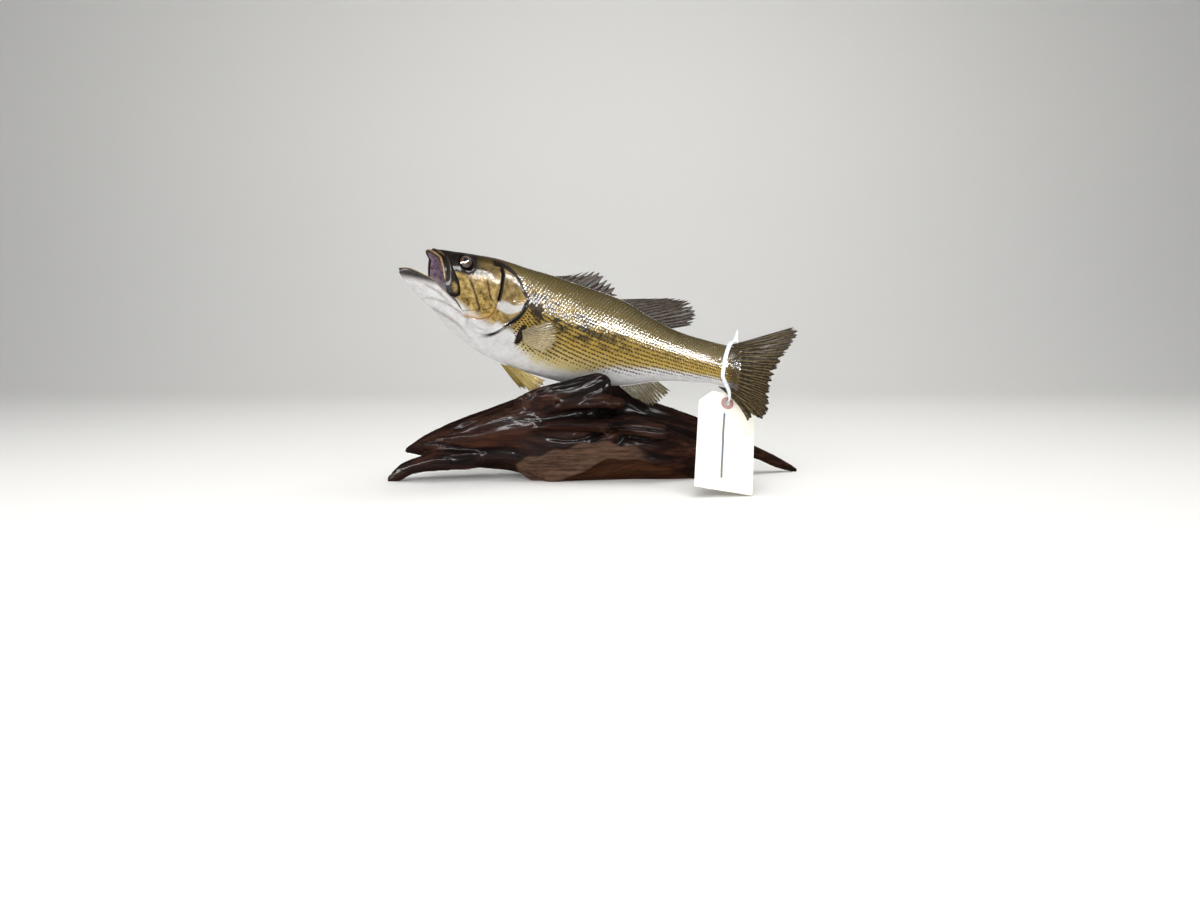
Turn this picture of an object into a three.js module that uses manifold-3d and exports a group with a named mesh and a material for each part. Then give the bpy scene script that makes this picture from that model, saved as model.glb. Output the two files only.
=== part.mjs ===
// Mounted largemouth bass on a driftwood base, with a shipping tag looped round its tail.
// Millimetres, +Z up. The fish swims along a curved backbone line, and every point of it is
// given by three lengths: s along the backbone from the snout, h above it, and l to its left.
// The origin is at the middle of the footprint, on the surface that the driftwood stands on.

import * as THREE from 'three';
import Module from 'manifold-3d';
import { mergeVertices } from 'three/addons/utils/BufferGeometryUtils.js';

// ---------------------------------------------------------------- driving dimensions

const STANDARD_LENGTH = 404;      // snout to the root of the tail fin, along the backbone
const HEAD_CUT = 96;              // s of the cut between head and trunk
const TAIL_CUT = 250;             // s of the cut between trunk and tail stalk
const GAP = 0.3;                  // clearance between touching pieces
const CUT_SIDES = 6;              // strips across each half of a cross-section

const HEAD_YAW = 30;              // degrees that the head turns to its left
const TAIL_YAW = 44;              // degrees that the tail turns to its left
const PITCH_HEAD = 15;            // degrees that the snout is raised
const PITCH_FALL = 6.5;           // degrees of that lost by the root of the tail
const BALANCE_S = 227;            // s of the point above the driftwood's saddle
const BALANCE_POINT = [0, 6, 170];

const JAW_TIP = -27;              // s of the tip of the dropped lower jaw
const JAW_END = 60;               // s where the jaw meets the throat
const JAW_WIDTH = 30;             // half width of the jaw at its joint
const MOUTH_SHEAR = 0.33;         // how far the rim of the mouth slopes back as it goes down
const MOUTH_ROUND = 8;            // how far the rim's sides lie behind its middle
const GULLET_DEPTH = 30;          // how far the mouth runs back past the jaw joint

const LIP = { from: 0.16, to: 0.84, ahead: 1.2, reach: 1.7, deep: 2.3, thin: 0.25 };
const TONGUE = { from: -2, to: 50, high: 5, low: -13, half: 11, thick: 3 };
const JAW_WALL = 3.2;             // thickness of the jaw's side walls
const EYE = { s: 39.6, h: 43, radius: 8.3, depth: 6.2, proud: 3 };
const GILL_CENTRE = { s: 84, h: 12 };
const GILL_THICK = 3.6;

const FIN_EDGE = 0.4;             // half thickness of a fin at its free edge
const FIN_ROOT = 1.3;             // half thickness of a fin at its root

// ---------------------------------------------------------------- small tools

const lerp = THREE.MathUtils.lerp;
const clamp = THREE.MathUtils.clamp;
const radians = THREE.MathUtils.degToRad;

function ease(x) {
  const t = clamp(x, 0, 1);
  return t * t * (3 - 2 * t);
}

// A smooth line through [x, y] knots that never overshoots them, level beyond both ends.
function profile(...knots) {
  const x = knots.map((k) => k[0]);
  const y = knots.map((k) => k[1]);
  const step = x.slice(1).map((v, i) => (y[i + 1] - y[i]) / (v - x[i]));
  const slope = x.map((_, i) => {
    if (i === 0) return step[0];
    if (i === x.length - 1) return step[i - 1];
    const product = step[i - 1] * step[i];
    return product <= 0 ? 0 : (2 * product) / (step[i - 1] + step[i]);
  });
  return (at) => {
    if (at <= x[0]) return y[0];
    if (at >= x[x.length - 1]) return y[y.length - 1];
    let i = 0;
    while (at > x[i + 1]) i += 1;
    const w = x[i + 1] - x[i];
    const t = (at - x[i]) / w;
    const hermite = t * t * (3 - 2 * t);
    const rise = w * (slope[i] * t * (1 - t) * (1 - t) - slope[i + 1] * t * t * (1 - t));
    return lerp(y[i], y[i + 1], hermite) + rise;
  };
}

// ---------------------------------------------------------------- the backbone line

const SPINE_START = -60;
const SPINE_STOP = 500;

function yawAt(s) {
  const head = HEAD_YAW * (1 - ease((s - 100) / 130));
  const tail = TAIL_YAW * ease((s - 208) / 192);
  return radians(head - tail);
}

function pitchAt(s) {
  return radians(PITCH_HEAD - PITCH_FALL * clamp(s / 400, 0, 1.3) ** 1.5);
}

const spineTable = [new THREE.Vector3()];
for (let s = SPINE_START; s < SPINE_STOP; s += 1) {
  const yaw = yawAt(s + 0.5);
  const pitch = pitchAt(s + 0.5);
  const along = new THREE.Vector3(Math.cos(pitch) * Math.cos(yaw),
    Math.cos(pitch) * Math.sin(yaw), -Math.sin(pitch));
  spineTable.push(spineTable[spineTable.length - 1].clone().add(along));
}
const spineShift = new THREE.Vector3(...BALANCE_POINT)
  .sub(spineTable[BALANCE_S - SPINE_START]);

function spineAt(s) {
  const at = clamp(s - SPINE_START, 0, spineTable.length - 1.001);
  const i = Math.floor(at);
  return spineTable[i].clone().lerp(spineTable[i + 1], at - i).add(spineShift);
}

function place(s, h, l) {
  const yaw = yawAt(s);
  const pitch = pitchAt(s);
  const up = new THREE.Vector3(Math.sin(pitch) * Math.cos(yaw),
    Math.sin(pitch) * Math.sin(yaw), Math.cos(pitch));
  const left = new THREE.Vector3(Math.sin(yaw), -Math.cos(yaw), 0);
  return spineAt(s).addScaledVector(up, h).addScaledVector(left, l);
}

// ---------------------------------------------------------------- closed bodies from sheets

// A closed body between two sheets of points, front(u, v) and back(u, v), u and v from 0 to 1.
// Its four edges are joined by strips, or only the two u edges where the sheets go round in v.
function slab(nu, nv, front, back, round = false) {
  const points = [];
  const index = [];
  const id = (side, i, j) => side * (nu + 1) * (nv + 1) + i * (nv + 1) + j;
  const quad = (a, b, c, d) => index.push(a, b, c, a, c, d);
  for (const sheet of [front, back]) {
    for (let i = 0; i <= nu; i += 1) {
      for (let j = 0; j <= nv; j += 1) {
        points.push(...sheet(i / nu, round && j === nv ? 0 : j / nv).toArray());
      }
    }
  }
  for (let i = 0; i < nu; i += 1) {
    for (let j = 0; j < nv; j += 1) {
      quad(id(0, i, j), id(0, i + 1, j), id(0, i + 1, j + 1), id(0, i, j + 1));
      quad(id(1, i, j), id(1, i, j + 1), id(1, i + 1, j + 1), id(1, i + 1, j));
    }
    if (!round) {
      quad(id(0, i, 0), id(1, i, 0), id(1, i + 1, 0), id(0, i + 1, 0));
      quad(id(0, i, nv), id(0, i + 1, nv), id(1, i + 1, nv), id(1, i, nv));
    }
  }
  for (let j = 0; j < nv; j += 1) {
    quad(id(0, 0, j), id(0, 0, j + 1), id(1, 0, j + 1), id(1, 0, j));
    quad(id(0, nu, j), id(1, nu, j), id(1, nu, j + 1), id(0, nu, j + 1));
  }
  return closed(points, index);
}

// A closed tube: ring(u, v) goes round in v, and a fan closes each end.
function tube(nu, nv, ring) {
  const points = [];
  const index = [];
  for (let i = 0; i <= nu; i += 1) {
    for (let j = 0; j < nv; j += 1) points.push(...ring(i / nu, j / nv).toArray());
  }
  const middle = (i) => {
    const sum = new THREE.Vector3();
    for (let j = 0; j < nv; j += 1) sum.add(ring(i / nu, j / nv));
    return sum.divideScalar(nv);
  };
  const first = points.length / 3;
  points.push(...middle(0).toArray(), ...middle(nu).toArray());
  for (let j = 0; j < nv; j += 1) {
    const k = (j + 1) % nv;
    for (let i = 0; i < nu; i += 1) {
      const [a, b] = [i * nv + j, (i + 1) * nv + j];
      const [c, d] = [(i + 1) * nv + k, i * nv + k];
      index.push(a, b, c, a, c, d);
    }
    index.push(first, j, k, first + 1, nu * nv + k, nu * nv + j);
  }
  return closed(points, index);
}

// Joins equal points, drops the faces that this flattens, and turns the faces outwards.
function closed(points, index) {
  let geometry = new THREE.BufferGeometry();
  geometry.setAttribute('position', new THREE.Float32BufferAttribute(points, 3));
  geometry.setIndex(index);
  geometry = mergeVertices(geometry, 1e-3);
  const old = geometry.index.array;
  const kept = [];
  for (let i = 0; i < old.length; i += 3) {
    const [a, b, c] = [old[i], old[i + 1], old[i + 2]];
    if (a !== b && b !== c && c !== a) kept.push(a, b, c);
  }
  const p = geometry.attributes.position;
  const corner = [0, 1, 2].map(() => new THREE.Vector3());
  let volume = 0;
  for (let i = 0; i < kept.length; i += 3) {
    corner.forEach((v, k) => v.fromBufferAttribute(p, kept[i + k]));
    volume += corner[0].dot(corner[1].clone().cross(corner[2]));
  }
  if (volume < 0) {
    for (let i = 0; i < kept.length; i += 3) {
      [kept[i + 1], kept[i + 2]] = [kept[i + 2], kept[i + 1]];
    }
  }
  geometry.setIndex(kept);
  return geometry;
}

const wasm = await Module();
wasm.setup();

function solid(geometry) {
  const bare = geometry.clone();
  bare.deleteAttribute('normal');
  bare.deleteAttribute('uv');
  const merged = mergeVertices(bare, 1e-4);
  return new wasm.Manifold(new wasm.Mesh({
    numProp: 3,
    vertProperties: new Float32Array(merged.attributes.position.array),
    triVerts: new Uint32Array(merged.index.array),
  }));
}

// The largest of the lumps that a cut leaves.
function largest(cut) {
  return cut.decompose().sort((a, b) => b.volume() - a.volume())[0];
}

function geometryOf(manifold) {
  const mesh = manifold.getMesh();
  const geometry = new THREE.BufferGeometry();
  const stride = mesh.numProp;
  const points = [];
  for (let i = 0; i < mesh.vertProperties.length; i += stride) {
    points.push(...mesh.vertProperties.slice(i, i + 3));
  }
  geometry.setAttribute('position', new THREE.Float32BufferAttribute(points, 3));
  geometry.setIndex(Array.from(mesh.triVerts));
  return geometry;
}

// A piece less all of its neighbours.
function trimmed(piece, ...neighbours) {
  return largest(neighbours.reduce((left, n) => left.subtract(n), piece));
}

// ---------------------------------------------------------------- head, trunk and tail stalk

const backLine = profile([0, 46.8], [12, 51], [29, 53.8], [56, 58], [88, 61], [148, 60.5],
  [183, 57.5], [238, 51.5], [281, 38], [310, 29.5], [345, 25.5], [404, 24]);
const bellyLine = profile([-27, 13.5], [-12, 2.5], [3, -6.5], [35, -23.5], [47, -31.5],
  [70, -43], [89, -50], [120, -56], [160, -60.5], [200, -62], [230, -58.5], [268, -49.5],
  [304, -36.5], [347, -28], [380, -23.5], [404, -24]);
const halfWidth = profile([0, 27], [15, 28.5], [35, 29.5], [60, 29.5], [100, 29.5],
  [135, 31.5], [167, 32], [203, 30.5], [245, 25.5], [286, 18.5], [327, 12.5], [370, 8.5],
  [404, 6.5]);
const widestLine = profile([0, 6], [10, 0], [25, -8], [38, -13], [58, -13], [78, -8],
  [100, -3], [150, 0], [250, -4], [404, 0]);
const archPower = profile([0, 2.35], [40, 2.1], [100, 2], [404, 1.9]);
const bellyPower = profile([0, 1.75], [60, 1.85], [110, 2], [404, 2]);
const roofThick = profile([0, 3.2], [10, 8], [30, 14], [55, 20]);
const wallThick = profile([0, 2.6], [30, 4], [55, 5]);

const powered = (x, p) => Math.sign(x) * Math.abs(x) ** p;

// How far back a point of the head lies, so that the rim of the mouth slopes and rounds.
function mouthSetBack(s, h, l) {
  const slope = MOUTH_SHEAR * (backLine(s) - h) + MOUTH_ROUND * Math.min(1, (l / 15) ** 2);
  return (1 - ease(s / 55)) * slope;
}

// How far a cross-section has closed below into a throat, from the open mouth ahead of it.
const throatAt = (s) => ease((s - JAW_END + 10) / 10);

// Upper half of a cross-section: v runs from the left flank over the back to the right one.
function upperSkin(s, v, grow = 0) {
  const power = 2 / archPower(s);
  const h = widestLine(s) - grow * (1 - throatAt(s)) * (1 - Math.sin(Math.PI * v))
    + (backLine(s) + grow - widestLine(s)) * powered(Math.sin(Math.PI * v), power);
  const l = (halfWidth(s) + grow) * powered(Math.cos(Math.PI * v), power);
  return place(s + mouthSetBack(s, h, l), h, l);
}

// Lower half: the belly and throat, and ahead of them the roof of the mouth.
function lowerSkin(s, v, grow = 0) {
  const across = powered(Math.cos(Math.PI * v), 2 / bellyPower(s));
  const down = powered(Math.sin(Math.PI * v), 2 / bellyPower(s));
  const width = halfWidth(s) + grow;
  const bellyH = widestLine(s) - (widestLine(s) - bellyLine(s) + grow) * down;
  const roofPower = 2 / archPower(s);
  const roofH = widestLine(s) - grow * (1 - Math.sin(Math.PI * v))
    + (backLine(s) - roofThick(s) - grow - widestLine(s))
    * powered(Math.sin(Math.PI * v), roofPower);
  const roofL = (halfWidth(s) - wallThick(s) - grow) * powered(Math.cos(Math.PI * v), roofPower);
  const throat = throatAt(s);
  const h = lerp(roofH, bellyH, throat);
  const l = lerp(roofL, width * across, throat);
  const gullet = GULLET_DEPTH * (4 * throat * (1 - throat)) ** 0.7 * Math.sin(Math.PI * v);
  const ahead = grow * Math.min(1, 3 * throat);
  const sunk = grow * 4 * throat * (1 - throat);
  return place(s + mouthSetBack(s, h, l) + gullet - ahead, h - sunk, l);
}

// A length of the body. Grown by the clearance, it cuts room for itself out of its neighbours.
function bodyPart({ from, to, rows }, grow = 0) {
  const at = (u) => lerp(from - grow, to + grow, u);
  return slab(rows, 2 * CUT_SIDES, (u, v) => upperSkin(at(u), v, grow),
    (u, v) => lowerSkin(at(u), v, grow));
}

const HEAD = { from: 0, to: HEAD_CUT, rows: 20 };
const TRUNK = { from: HEAD_CUT + GAP, to: TAIL_CUT, rows: 11 };
const TAIL = { from: TAIL_CUT + GAP, to: STANDARD_LENGTH, rows: 10 };

// Half width of the flank at a place, used by what lies on it.
function flankAt(s, h) {
  const middle = widestLine(s);
  const reach = h > middle ? backLine(s) - middle : middle - bellyLine(s);
  const power = h > middle ? archPower(s) : bellyPower(s);
  const part = Math.min(1, Math.abs(h - middle) / reach);
  return halfWidth(s) * (1 - part ** power) ** (1 / power);
}

// ---------------------------------------------------------------- lower jaw

const jawRim = profile([-27, 17], [-20, 18.5], [-5, 15.7], [6, 12.5], [17, 6.5], [30, -1],
  [40, -9], [46, -13.4], [60, -13.4]);

function jawHalf(s) {
  const open = Math.sin((Math.PI / 2) * clamp((s - JAW_TIP) / 60, 0, 1)) ** 0.6;
  return lerp(JAW_WIDTH * open, halfWidth(s), ease((s - 20) / 35));
}

// Outside of the jaw from the left rim round the keel, and the floor of the mouth inside it.
function jawPoint(s, v, inside) {
  const across = powered(Math.cos(Math.PI * v), 2 / bellyPower(s));
  const down = powered(Math.sin(Math.PI * v), 2 / bellyPower(s));
  const depth = (jawRim(s) - bellyLine(s)) * (inside ? 0.55 : 1);
  const wall = inside ? Math.min(JAW_WALL, 0.4 * jawHalf(s)) : 0;
  const top = jawRim(s) - (inside ? 2 * GAP : 0);
  return place(s, top - depth * down, (jawHalf(s) - wall) * across);
}

// ---------------------------------------------------------------- gill covers

// Distance from the cover's centre to its edge, by the angle from straight back, in degrees.
const gillEdge = profile([-68, 29.7], [-43, 28], [-12, 31], [8, 34], [13, 37.2], [34, 34.2],
  [64, 38.4], [98, 42.9], [127, 40], [167, 35], [210, 38], [239, 45], [248, 44.5], [258, 42],
  [272, 37], [292, 29.7]);

function gillPoint(side, r, v, outside) {
  let degrees = 360 * v;
  if (degrees > 292) degrees -= 360;
  const reach = gillEdge(degrees) * r;
  const s = GILL_CENTRE.s + reach * Math.cos(radians(degrees));
  const h = GILL_CENTRE.h + reach * Math.sin(radians(degrees));
  const rear = 0.5 + 0.5 * Math.cos(radians(degrees + 35));
  const lift = outside ? GILL_THICK * (0.7 + 0.3 * rear) + 1.6 * rear * r * r : 3 * GAP;
  const edge = outside ? 1 - 0.28 * r ** 8 : 1;
  return place(s, h, side * (flankAt(s, h) + lift * edge));
}

// ---------------------------------------------------------------- lips, maxillae and tongue

// The bead of the upper lip, along the front rim of the head.
function lipPoint(u, v) {
  const { from, to, ahead, reach, deep, thin } = LIP;
  const round = lerp(from, to, u);
  const before = upperSkin(0, round - 0.01);
  const after = upperSkin(0, round + 0.01);
  const rim = upperSkin(0, round).lerp(lowerSkin(0, round), 0.5);
  const tangent = after.sub(before).normalize();
  const forward = place(-10, 0, 0).sub(place(0, 0, 0)).normalize();
  forward.addScaledVector(tangent, -forward.dot(tangent)).normalize();
  const outward = new THREE.Vector3().crossVectors(tangent, forward);
  const thick = lerp(thin, 1, Math.sin(Math.PI * u) ** 0.4);
  const turn = 2 * Math.PI * v;
  return rim.addScaledVector(forward, ahead + reach * thick * Math.cos(turn))
    .addScaledVector(outward, deep * thick * Math.sin(turn));
}

// A maxilla: a paddle that widens from the snout down to the corner of the mouth.
const maxillaLine = {
  s: profile([0, 15.5], [0.5, 23], [1, 30.5]),
  l: profile([0, 17.5], [0.5, 26], [1, 29.6]),
  h: profile([0, 46], [0.5, 24.5], [1, 1]),
  half: profile([0, 2.6], [0.35, 4], [0.75, 8.5], [0.92, 8.4], [1, 4.5]),
};

function maxillaPoint(side, u, v, outside) {
  const across = (2 * v - 1) * maxillaLine.half(u);
  const bulge = outside ? 0.8 + 1.5 * (1 - (2 * v - 1) ** 2) : -2;
  return place(maxillaLine.s(u) + 0.95 * across, maxillaLine.h(u) + 0.2 * across,
    side * (maxillaLine.l(u) + bulge + 0.06 * across));
}

function tonguePoint(u, v) {
  const { from, to, high, low, half, thick } = TONGUE;
  const round = Math.sin(Math.PI * clamp(0.06 + 0.94 * u, 0, 0.62)) ** 0.6;
  const turn = 2 * Math.PI * v;
  return place(lerp(from, to, u), lerp(high, low, u) + thick * round * Math.sin(turn),
    half * round * Math.cos(turn));
}

// ---------------------------------------------------------------- fins

// A fin is a thin body between root(u) and edge(u), each [s, h, l]; u runs from the front ray
// to the last. rays gives its number of ridges, and notch how deep the edge dips between them.
function fin({ root, edge, rays, notch = 0, sway = () => 0, thick = FIN_ROOT, nv = 2,
  edgeThick = FIN_EDGE }) {
  const point = (u, v, side) => {
    const dip = 1 - notch * (0.5 - 0.5 * Math.cos(2 * Math.PI * rays * u));
    const [a, b] = [root(u), edge(u)];
    const t = v * dip;
    const ends = 0.35 + 0.65 * Math.sin(Math.PI * clamp(u, 0.02, 0.98)) ** 0.3;
    const half = lerp(thick, edgeThick, v ** 0.8) * ends;
    return place(lerp(a[0], b[0], t), lerp(a[1], b[1], t),
      lerp(a[2], b[2], t) + sway(u, t) + side * Math.max(half, 0.3));
  };
  return slab(2 * rays, nv, (u, v) => point(u, v, 1), (u, v) => point(u, v, -1));
}

const onFlank = (s, h, side, off) => [s, h, side * (flankAt(s, h) + off)];
const along = (a, b) => (u) => a.map((v, i) => lerp(v, b[i], u));
const path = (s, h, l) => (u) => [s(u), h(u), l(u)];
const level = () => 0;

const spinyDorsal = {
  rays: 10,
  notch: 0.38,
  root: path((u) => lerp(157, 230, u), (u) => backLine(lerp(157, 230, u)) + 1.5 * GAP, level),
  edge: path(profile([0, 172], [0.25, 193], [0.6, 215], [1, 237]),
    profile([0, 64], [0.25, 74], [0.45, 77], [0.7, 70], [0.9, 63], [1, 54]),
    (u) => 2.5 * Math.sin(4 * Math.PI * u)),
};

const softDorsal = {
  rays: 12,
  notch: 0.1,
  root: path((u) => lerp(241, 311, u), (u) => backLine(lerp(241, 311, u)) + 1.5 * GAP, level),
  edge: path(profile([0, 272], [0.2, 306], [0.45, 328], [0.8, 341], [1, 336]),
    profile([0, 58], [0.2, 64.5], [0.45, 65.5], [0.8, 49], [1, 38]),
    (u) => 5 * Math.sin(Math.PI * u)),
};

const analFin = {
  rays: 11,
  notch: 0.1,
  root: path((u) => lerp(262, 306, u), (u) => bellyLine(lerp(262, 306, u)) - 1.5 * GAP, level),
  edge: path(profile([0, 280], [0.3, 303], [0.7, 315], [1, 324]),
    profile([0, -62], [0.3, -67], [0.7, -57], [1, -44]), (u) => 3 * Math.sin(Math.PI * u)),
};

const tailFin = {
  rays: 17,
  notch: 0.09,
  thick: 3.4,
  root: path(profile([0, 397], [0.058, STANDARD_LENGTH + 0.6], [0.9, STANDARD_LENGTH + 0.6],
    [1, 388]), profile([0, 25.6], [0.058, 25], [0.9, -25], [1, -25.8]), level),
  edge: path(profile([0, 468], [0.08, 475], [0.25, 468], [0.4, 463], [0.55, 462], [0.7, 466],
    [0.82, 470], [0.94, 466], [1, 448]),
    profile([0, 56], [0.08, 51], [0.25, 31], [0.4, 12], [0.55, -5], [0.7, -20], [0.82, -32],
      [0.94, -43], [1, -49]), level),
  sway: (u, t) => t * t * lerp(-8, 26, ease(u)),
};

function pectoral(side) {
  return {
    rays: 9,
    notch: 0.08,
    thick: 1.6,
    root: (u) => onFlank(lerp(116, 128, u), lerp(-10.5, -31, u), side, 2.2),
    edge: path(profile([0, 150], [0.3, 164], [0.6, 169], [1, 156]),
      profile([0, 5], [0.3, -2], [0.6, -14], [1, -33]),
      (u) => side * (46 - 4 * u)),
  };
}

function pelvic(side, grow = 0) {
  return {
    rays: 6,
    notch: 0.1,
    thick: 1.3 + grow,
    edgeThick: FIN_EDGE + grow,
    root: along([117, -56.5, side * 8], [131, -57.5, side * 8.5]),
    edge: path(profile([0, 152], [0.5, 166], [1, 170]), profile([0, -80.5], [0.5, -77.5], [1, -63]),
      (u) => side * (21 - 2 * u)),
  };
}

// ---------------------------------------------------------------- driftwood

// A limb of the driftwood runs along X between two ends. top, base, near and far give its
// outline at each X; its section is a rounded box with shallow ridges along the grain.
function limb({ from, to, top, base, near, far, rows, sides = 14, ridges = 0, power = 2.3 }) {
  return solid(tube(rows, sides, (u, v) => {
    const x = lerp(from, to, u);
    const turn = 2 * Math.PI * v;
    const grain = 1 + ridges * Math.sin(4 * turn + x / 42) + ridges * 0.6 * Math.sin(7 * turn);
    const y = powered(Math.cos(turn), 2 / power) * grain;
    const z = powered(Math.sin(turn), 2 / power) * grain;
    return new THREE.Vector3(x, lerp(near(x), far(x), 0.5 + y / 2),
      lerp(base(x), top(x), 0.5 + z / 2));
  }));
}

const log = {
  from: -236,
  to: 252,
  rows: 18,
  sides: 12,
  ridges: 0.035,
  top: profile([-236, 38], [-215, 53], [-190, 65], [-138, 84], [-87, 104], [-45, 117],
    [0, 117], [28, 109], [64, 92], [118, 71], [189, 39], [225, 20.5], [252, 4]),
  base: profile([-236, 33], [-190, 24], [-150, 16], [-112, 12], [-85, 4], [-66, -7],
    [112, -7], [135, 5], [165, 17], [189, 20], [225, 6], [252, -2]),
  near: profile([-236, -13], [-190, -26], [-138, -34], [-87, -40], [-10, -36], [35, -2],
    [118, 4], [160, 10], [225, 34], [252, 45]),
  far: profile([-236, -7], [-190, 16], [-138, 28], [-87, 42], [-30, 56], [50, 60],
    [118, 52], [160, 44], [225, 48], [252, 51]),
};

const lowerRoot = {
  from: -256,
  to: -110,
  rows: 8,
  sides: 8,
  ridges: 0.03,
  top: profile([-256, 5], [-238, 22], [-215, 31], [-180, 42], [-110, 50]),
  base: profile([-256, -1], [-246, -0.6], [-224, 9], [-190, 14], [-110, 16]),
  near: profile([-256, -24], [-235, -31], [-190, -38], [-110, -38]),
  far: profile([-256, -19], [-235, -13], [-190, -6], [-110, 4]),
};

const apron = {
  from: -80,
  to: 150,
  rows: 8,
  sides: 10,
  ridges: 0.03,
  top: profile([-80, 62], [0, 82], [60, 76], [120, 60], [150, 48]),
  base: profile([-80, 6], [-60, -7], [112, -7], [150, 16]),
  near: profile([-80, -34], [0, -38], [64, -32], [118, -14], [150, 6]),
  far: profile([-80, 20], [50, 40], [150, 40]),
};

const knob = {
  from: -104,
  to: 15,
  rows: 8,
  sides: 10,
  ridges: 0.03,
  top: profile([-104, 99], [-70, 116], [-45, 122], [-20, 130], [-4, 133], [9, 127], [15, 116]),
  base: profile([-104, 70], [-40, 84], [0, 92], [15, 104]),
  near: profile([-104, -34], [-60, -42], [-8, -46], [15, -38]),
  far: profile([-104, -20], [-70, -28], [-40, -18], [6, -14], [15, -22]),
};

const upperRidge = {
  from: -70,
  to: 30,
  rows: 6,
  sides: 8,
  top: profile([-70, 98], [0, 104], [24, 101], [30, 97]),
  base: profile([-70, 84], [0, 88], [24, 88], [30, 93]),
  near: profile([-70, -40], [0, -49], [24, -46], [30, -41]),
  far: level,
};

const middleRidge = {
  from: -120,
  to: 84,
  rows: 10,
  sides: 8,
  top: profile([-120, 62], [-40, 80], [20, 76], [76, 70], [84, 64]),
  base: profile([-120, 50], [-40, 62], [20, 60], [76, 52], [84, 58]),
  near: profile([-120, -36], [-40, -50], [30, -50], [76, -46], [84, -38]),
  far: level,
};

const splinteredFoot = {
  from: -104,
  to: 70,
  rows: 8,
  sides: 8,
  top: profile([-104, 22], [-60, 36], [0, 48], [70, 34]),
  base: profile([-104, 16], [-78, -3], [20, -3], [70, 6]),
  near: profile([-104, -22], [-60, -24], [0, -27], [70, -15]),
  far: level,
};

const rearRoot = {
  from: 8,
  to: 84,
  rows: 7,
  sides: 10,
  ridges: 0.03,
  top: profile([8, 60], [40, 52], [84, 20]),
  base: profile([8, 20], [30, -2], [72, -2], [84, 4]),
  near: profile([8, 30], [40, 40], [84, 58]),
  far: profile([8, 62], [40, 76], [72, 78], [84, 70]),
};

// ---------------------------------------------------------------- tag and its loop

const TAG = { width: 67, length: 119.5, corner: 15, thick: 0.6, hole: 3.4, holeDown: 12.5 };
const TAG_HOLE = [145.5, -63, 98];        // where the loop passes through the card
const TAG_FOOT = [136, -116, 11];           // middle of the card's lower edge
const LOOP = { s: 401, top: 30.5, half: 17, band: 2, thick: 0.7 };

function tagMatrix() {
  const hole = new THREE.Vector3(...TAG_HOLE);
  const upward = hole.clone().sub(new THREE.Vector3(...TAG_FOOT)).normalize();
  const across = new THREE.Vector3(0.98, 0.2, -0.065);
  across.addScaledVector(upward, -across.dot(upward)).normalize();
  const facing = new THREE.Vector3().crossVectors(across, upward);
  return new THREE.Matrix4().makeBasis(across, upward, facing).setPosition(hole);
}

function tagCard() {
  const { width, length, corner, thick, hole, holeDown } = TAG;
  const outline = new THREE.Shape([
    new THREE.Vector2(-width / 2, holeDown - length),
    new THREE.Vector2(width / 2, holeDown - length),
    new THREE.Vector2(width / 2, holeDown - corner),
    new THREE.Vector2(width / 2 - corner, holeDown),
    new THREE.Vector2(corner - width / 2, holeDown),
    new THREE.Vector2(-width / 2, holeDown - corner),
  ]);
  outline.holes.push(new THREE.Path().absarc(0, 0, hole, 0, 2 * Math.PI, true));
  const card = new THREE.ExtrudeGeometry(outline, { depth: thick, bevelEnabled: false,
    curveSegments: 6 });
  return card.translate(0, 0, -thick / 2).applyMatrix4(tagMatrix());
}

// The reinforcing patch round the hole, on the front of the card.
function tagPatch() {
  const [inner, outer, deep] = [TAG.hole, 7.5, 0.5];
  const face = TAG.thick / 2 + GAP;
  const profilePoints = [[inner, 0], [outer, 0], [outer, deep], [inner, deep], [inner, 0]];
  const ring = new THREE.LatheGeometry(
    profilePoints.map(([x, y]) => new THREE.Vector2(x, y)), 12);
  return ring.rotateX(Math.PI / 2).translate(0, 0, face).applyMatrix4(tagMatrix());
}

// A flat band that hangs over the tail stalk and passes through the tag's hole.
function loopPoint(u, v) {
  const turn = 2 * Math.PI * u;
  const top = place(LOOP.s, LOOP.top, 0);
  const bottom = new THREE.Vector3(...TAG_HOLE);
  const left = place(LOOP.s, 0, 1).sub(place(LOOP.s, 0, 0));
  const facing = new THREE.Vector3().setFromMatrixColumn(tagMatrix(), 2);
  const middle = top.clone().lerp(bottom, 0.45);
  const round = (t) => {
    const high = 0.5 + 0.5 * Math.cos(t);
    const aside = facing.clone().lerp(left, Math.min(1, 2.2 * high)).normalize();
    return bottom.clone().lerp(top, high)
      .addScaledVector(aside, LOOP.half * powered(Math.sin(t), 0.6) * (0.7 + 0.3 * high));
  };
  const centre = round(turn);
  const tangent = round(turn + 0.05).sub(round(turn - 0.05)).normalize();
  const outward = centre.clone().sub(middle);
  outward.addScaledVector(tangent, -outward.dot(tangent)).normalize();
  const flat = new THREE.Vector3().crossVectors(tangent, outward);
  const [a, b] = [[-1, -1], [1, -1], [1, 1], [-1, 1]][Math.round(v * 4) % 4];
  const low = (0.5 - 0.5 * Math.cos(turn)) ** 8;
  return centre.addScaledVector(flat, a * lerp(LOOP.band, 0.7, low))
    .addScaledVector(outward, b * lerp(LOOP.thick, 0.5, low));
}

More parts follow.
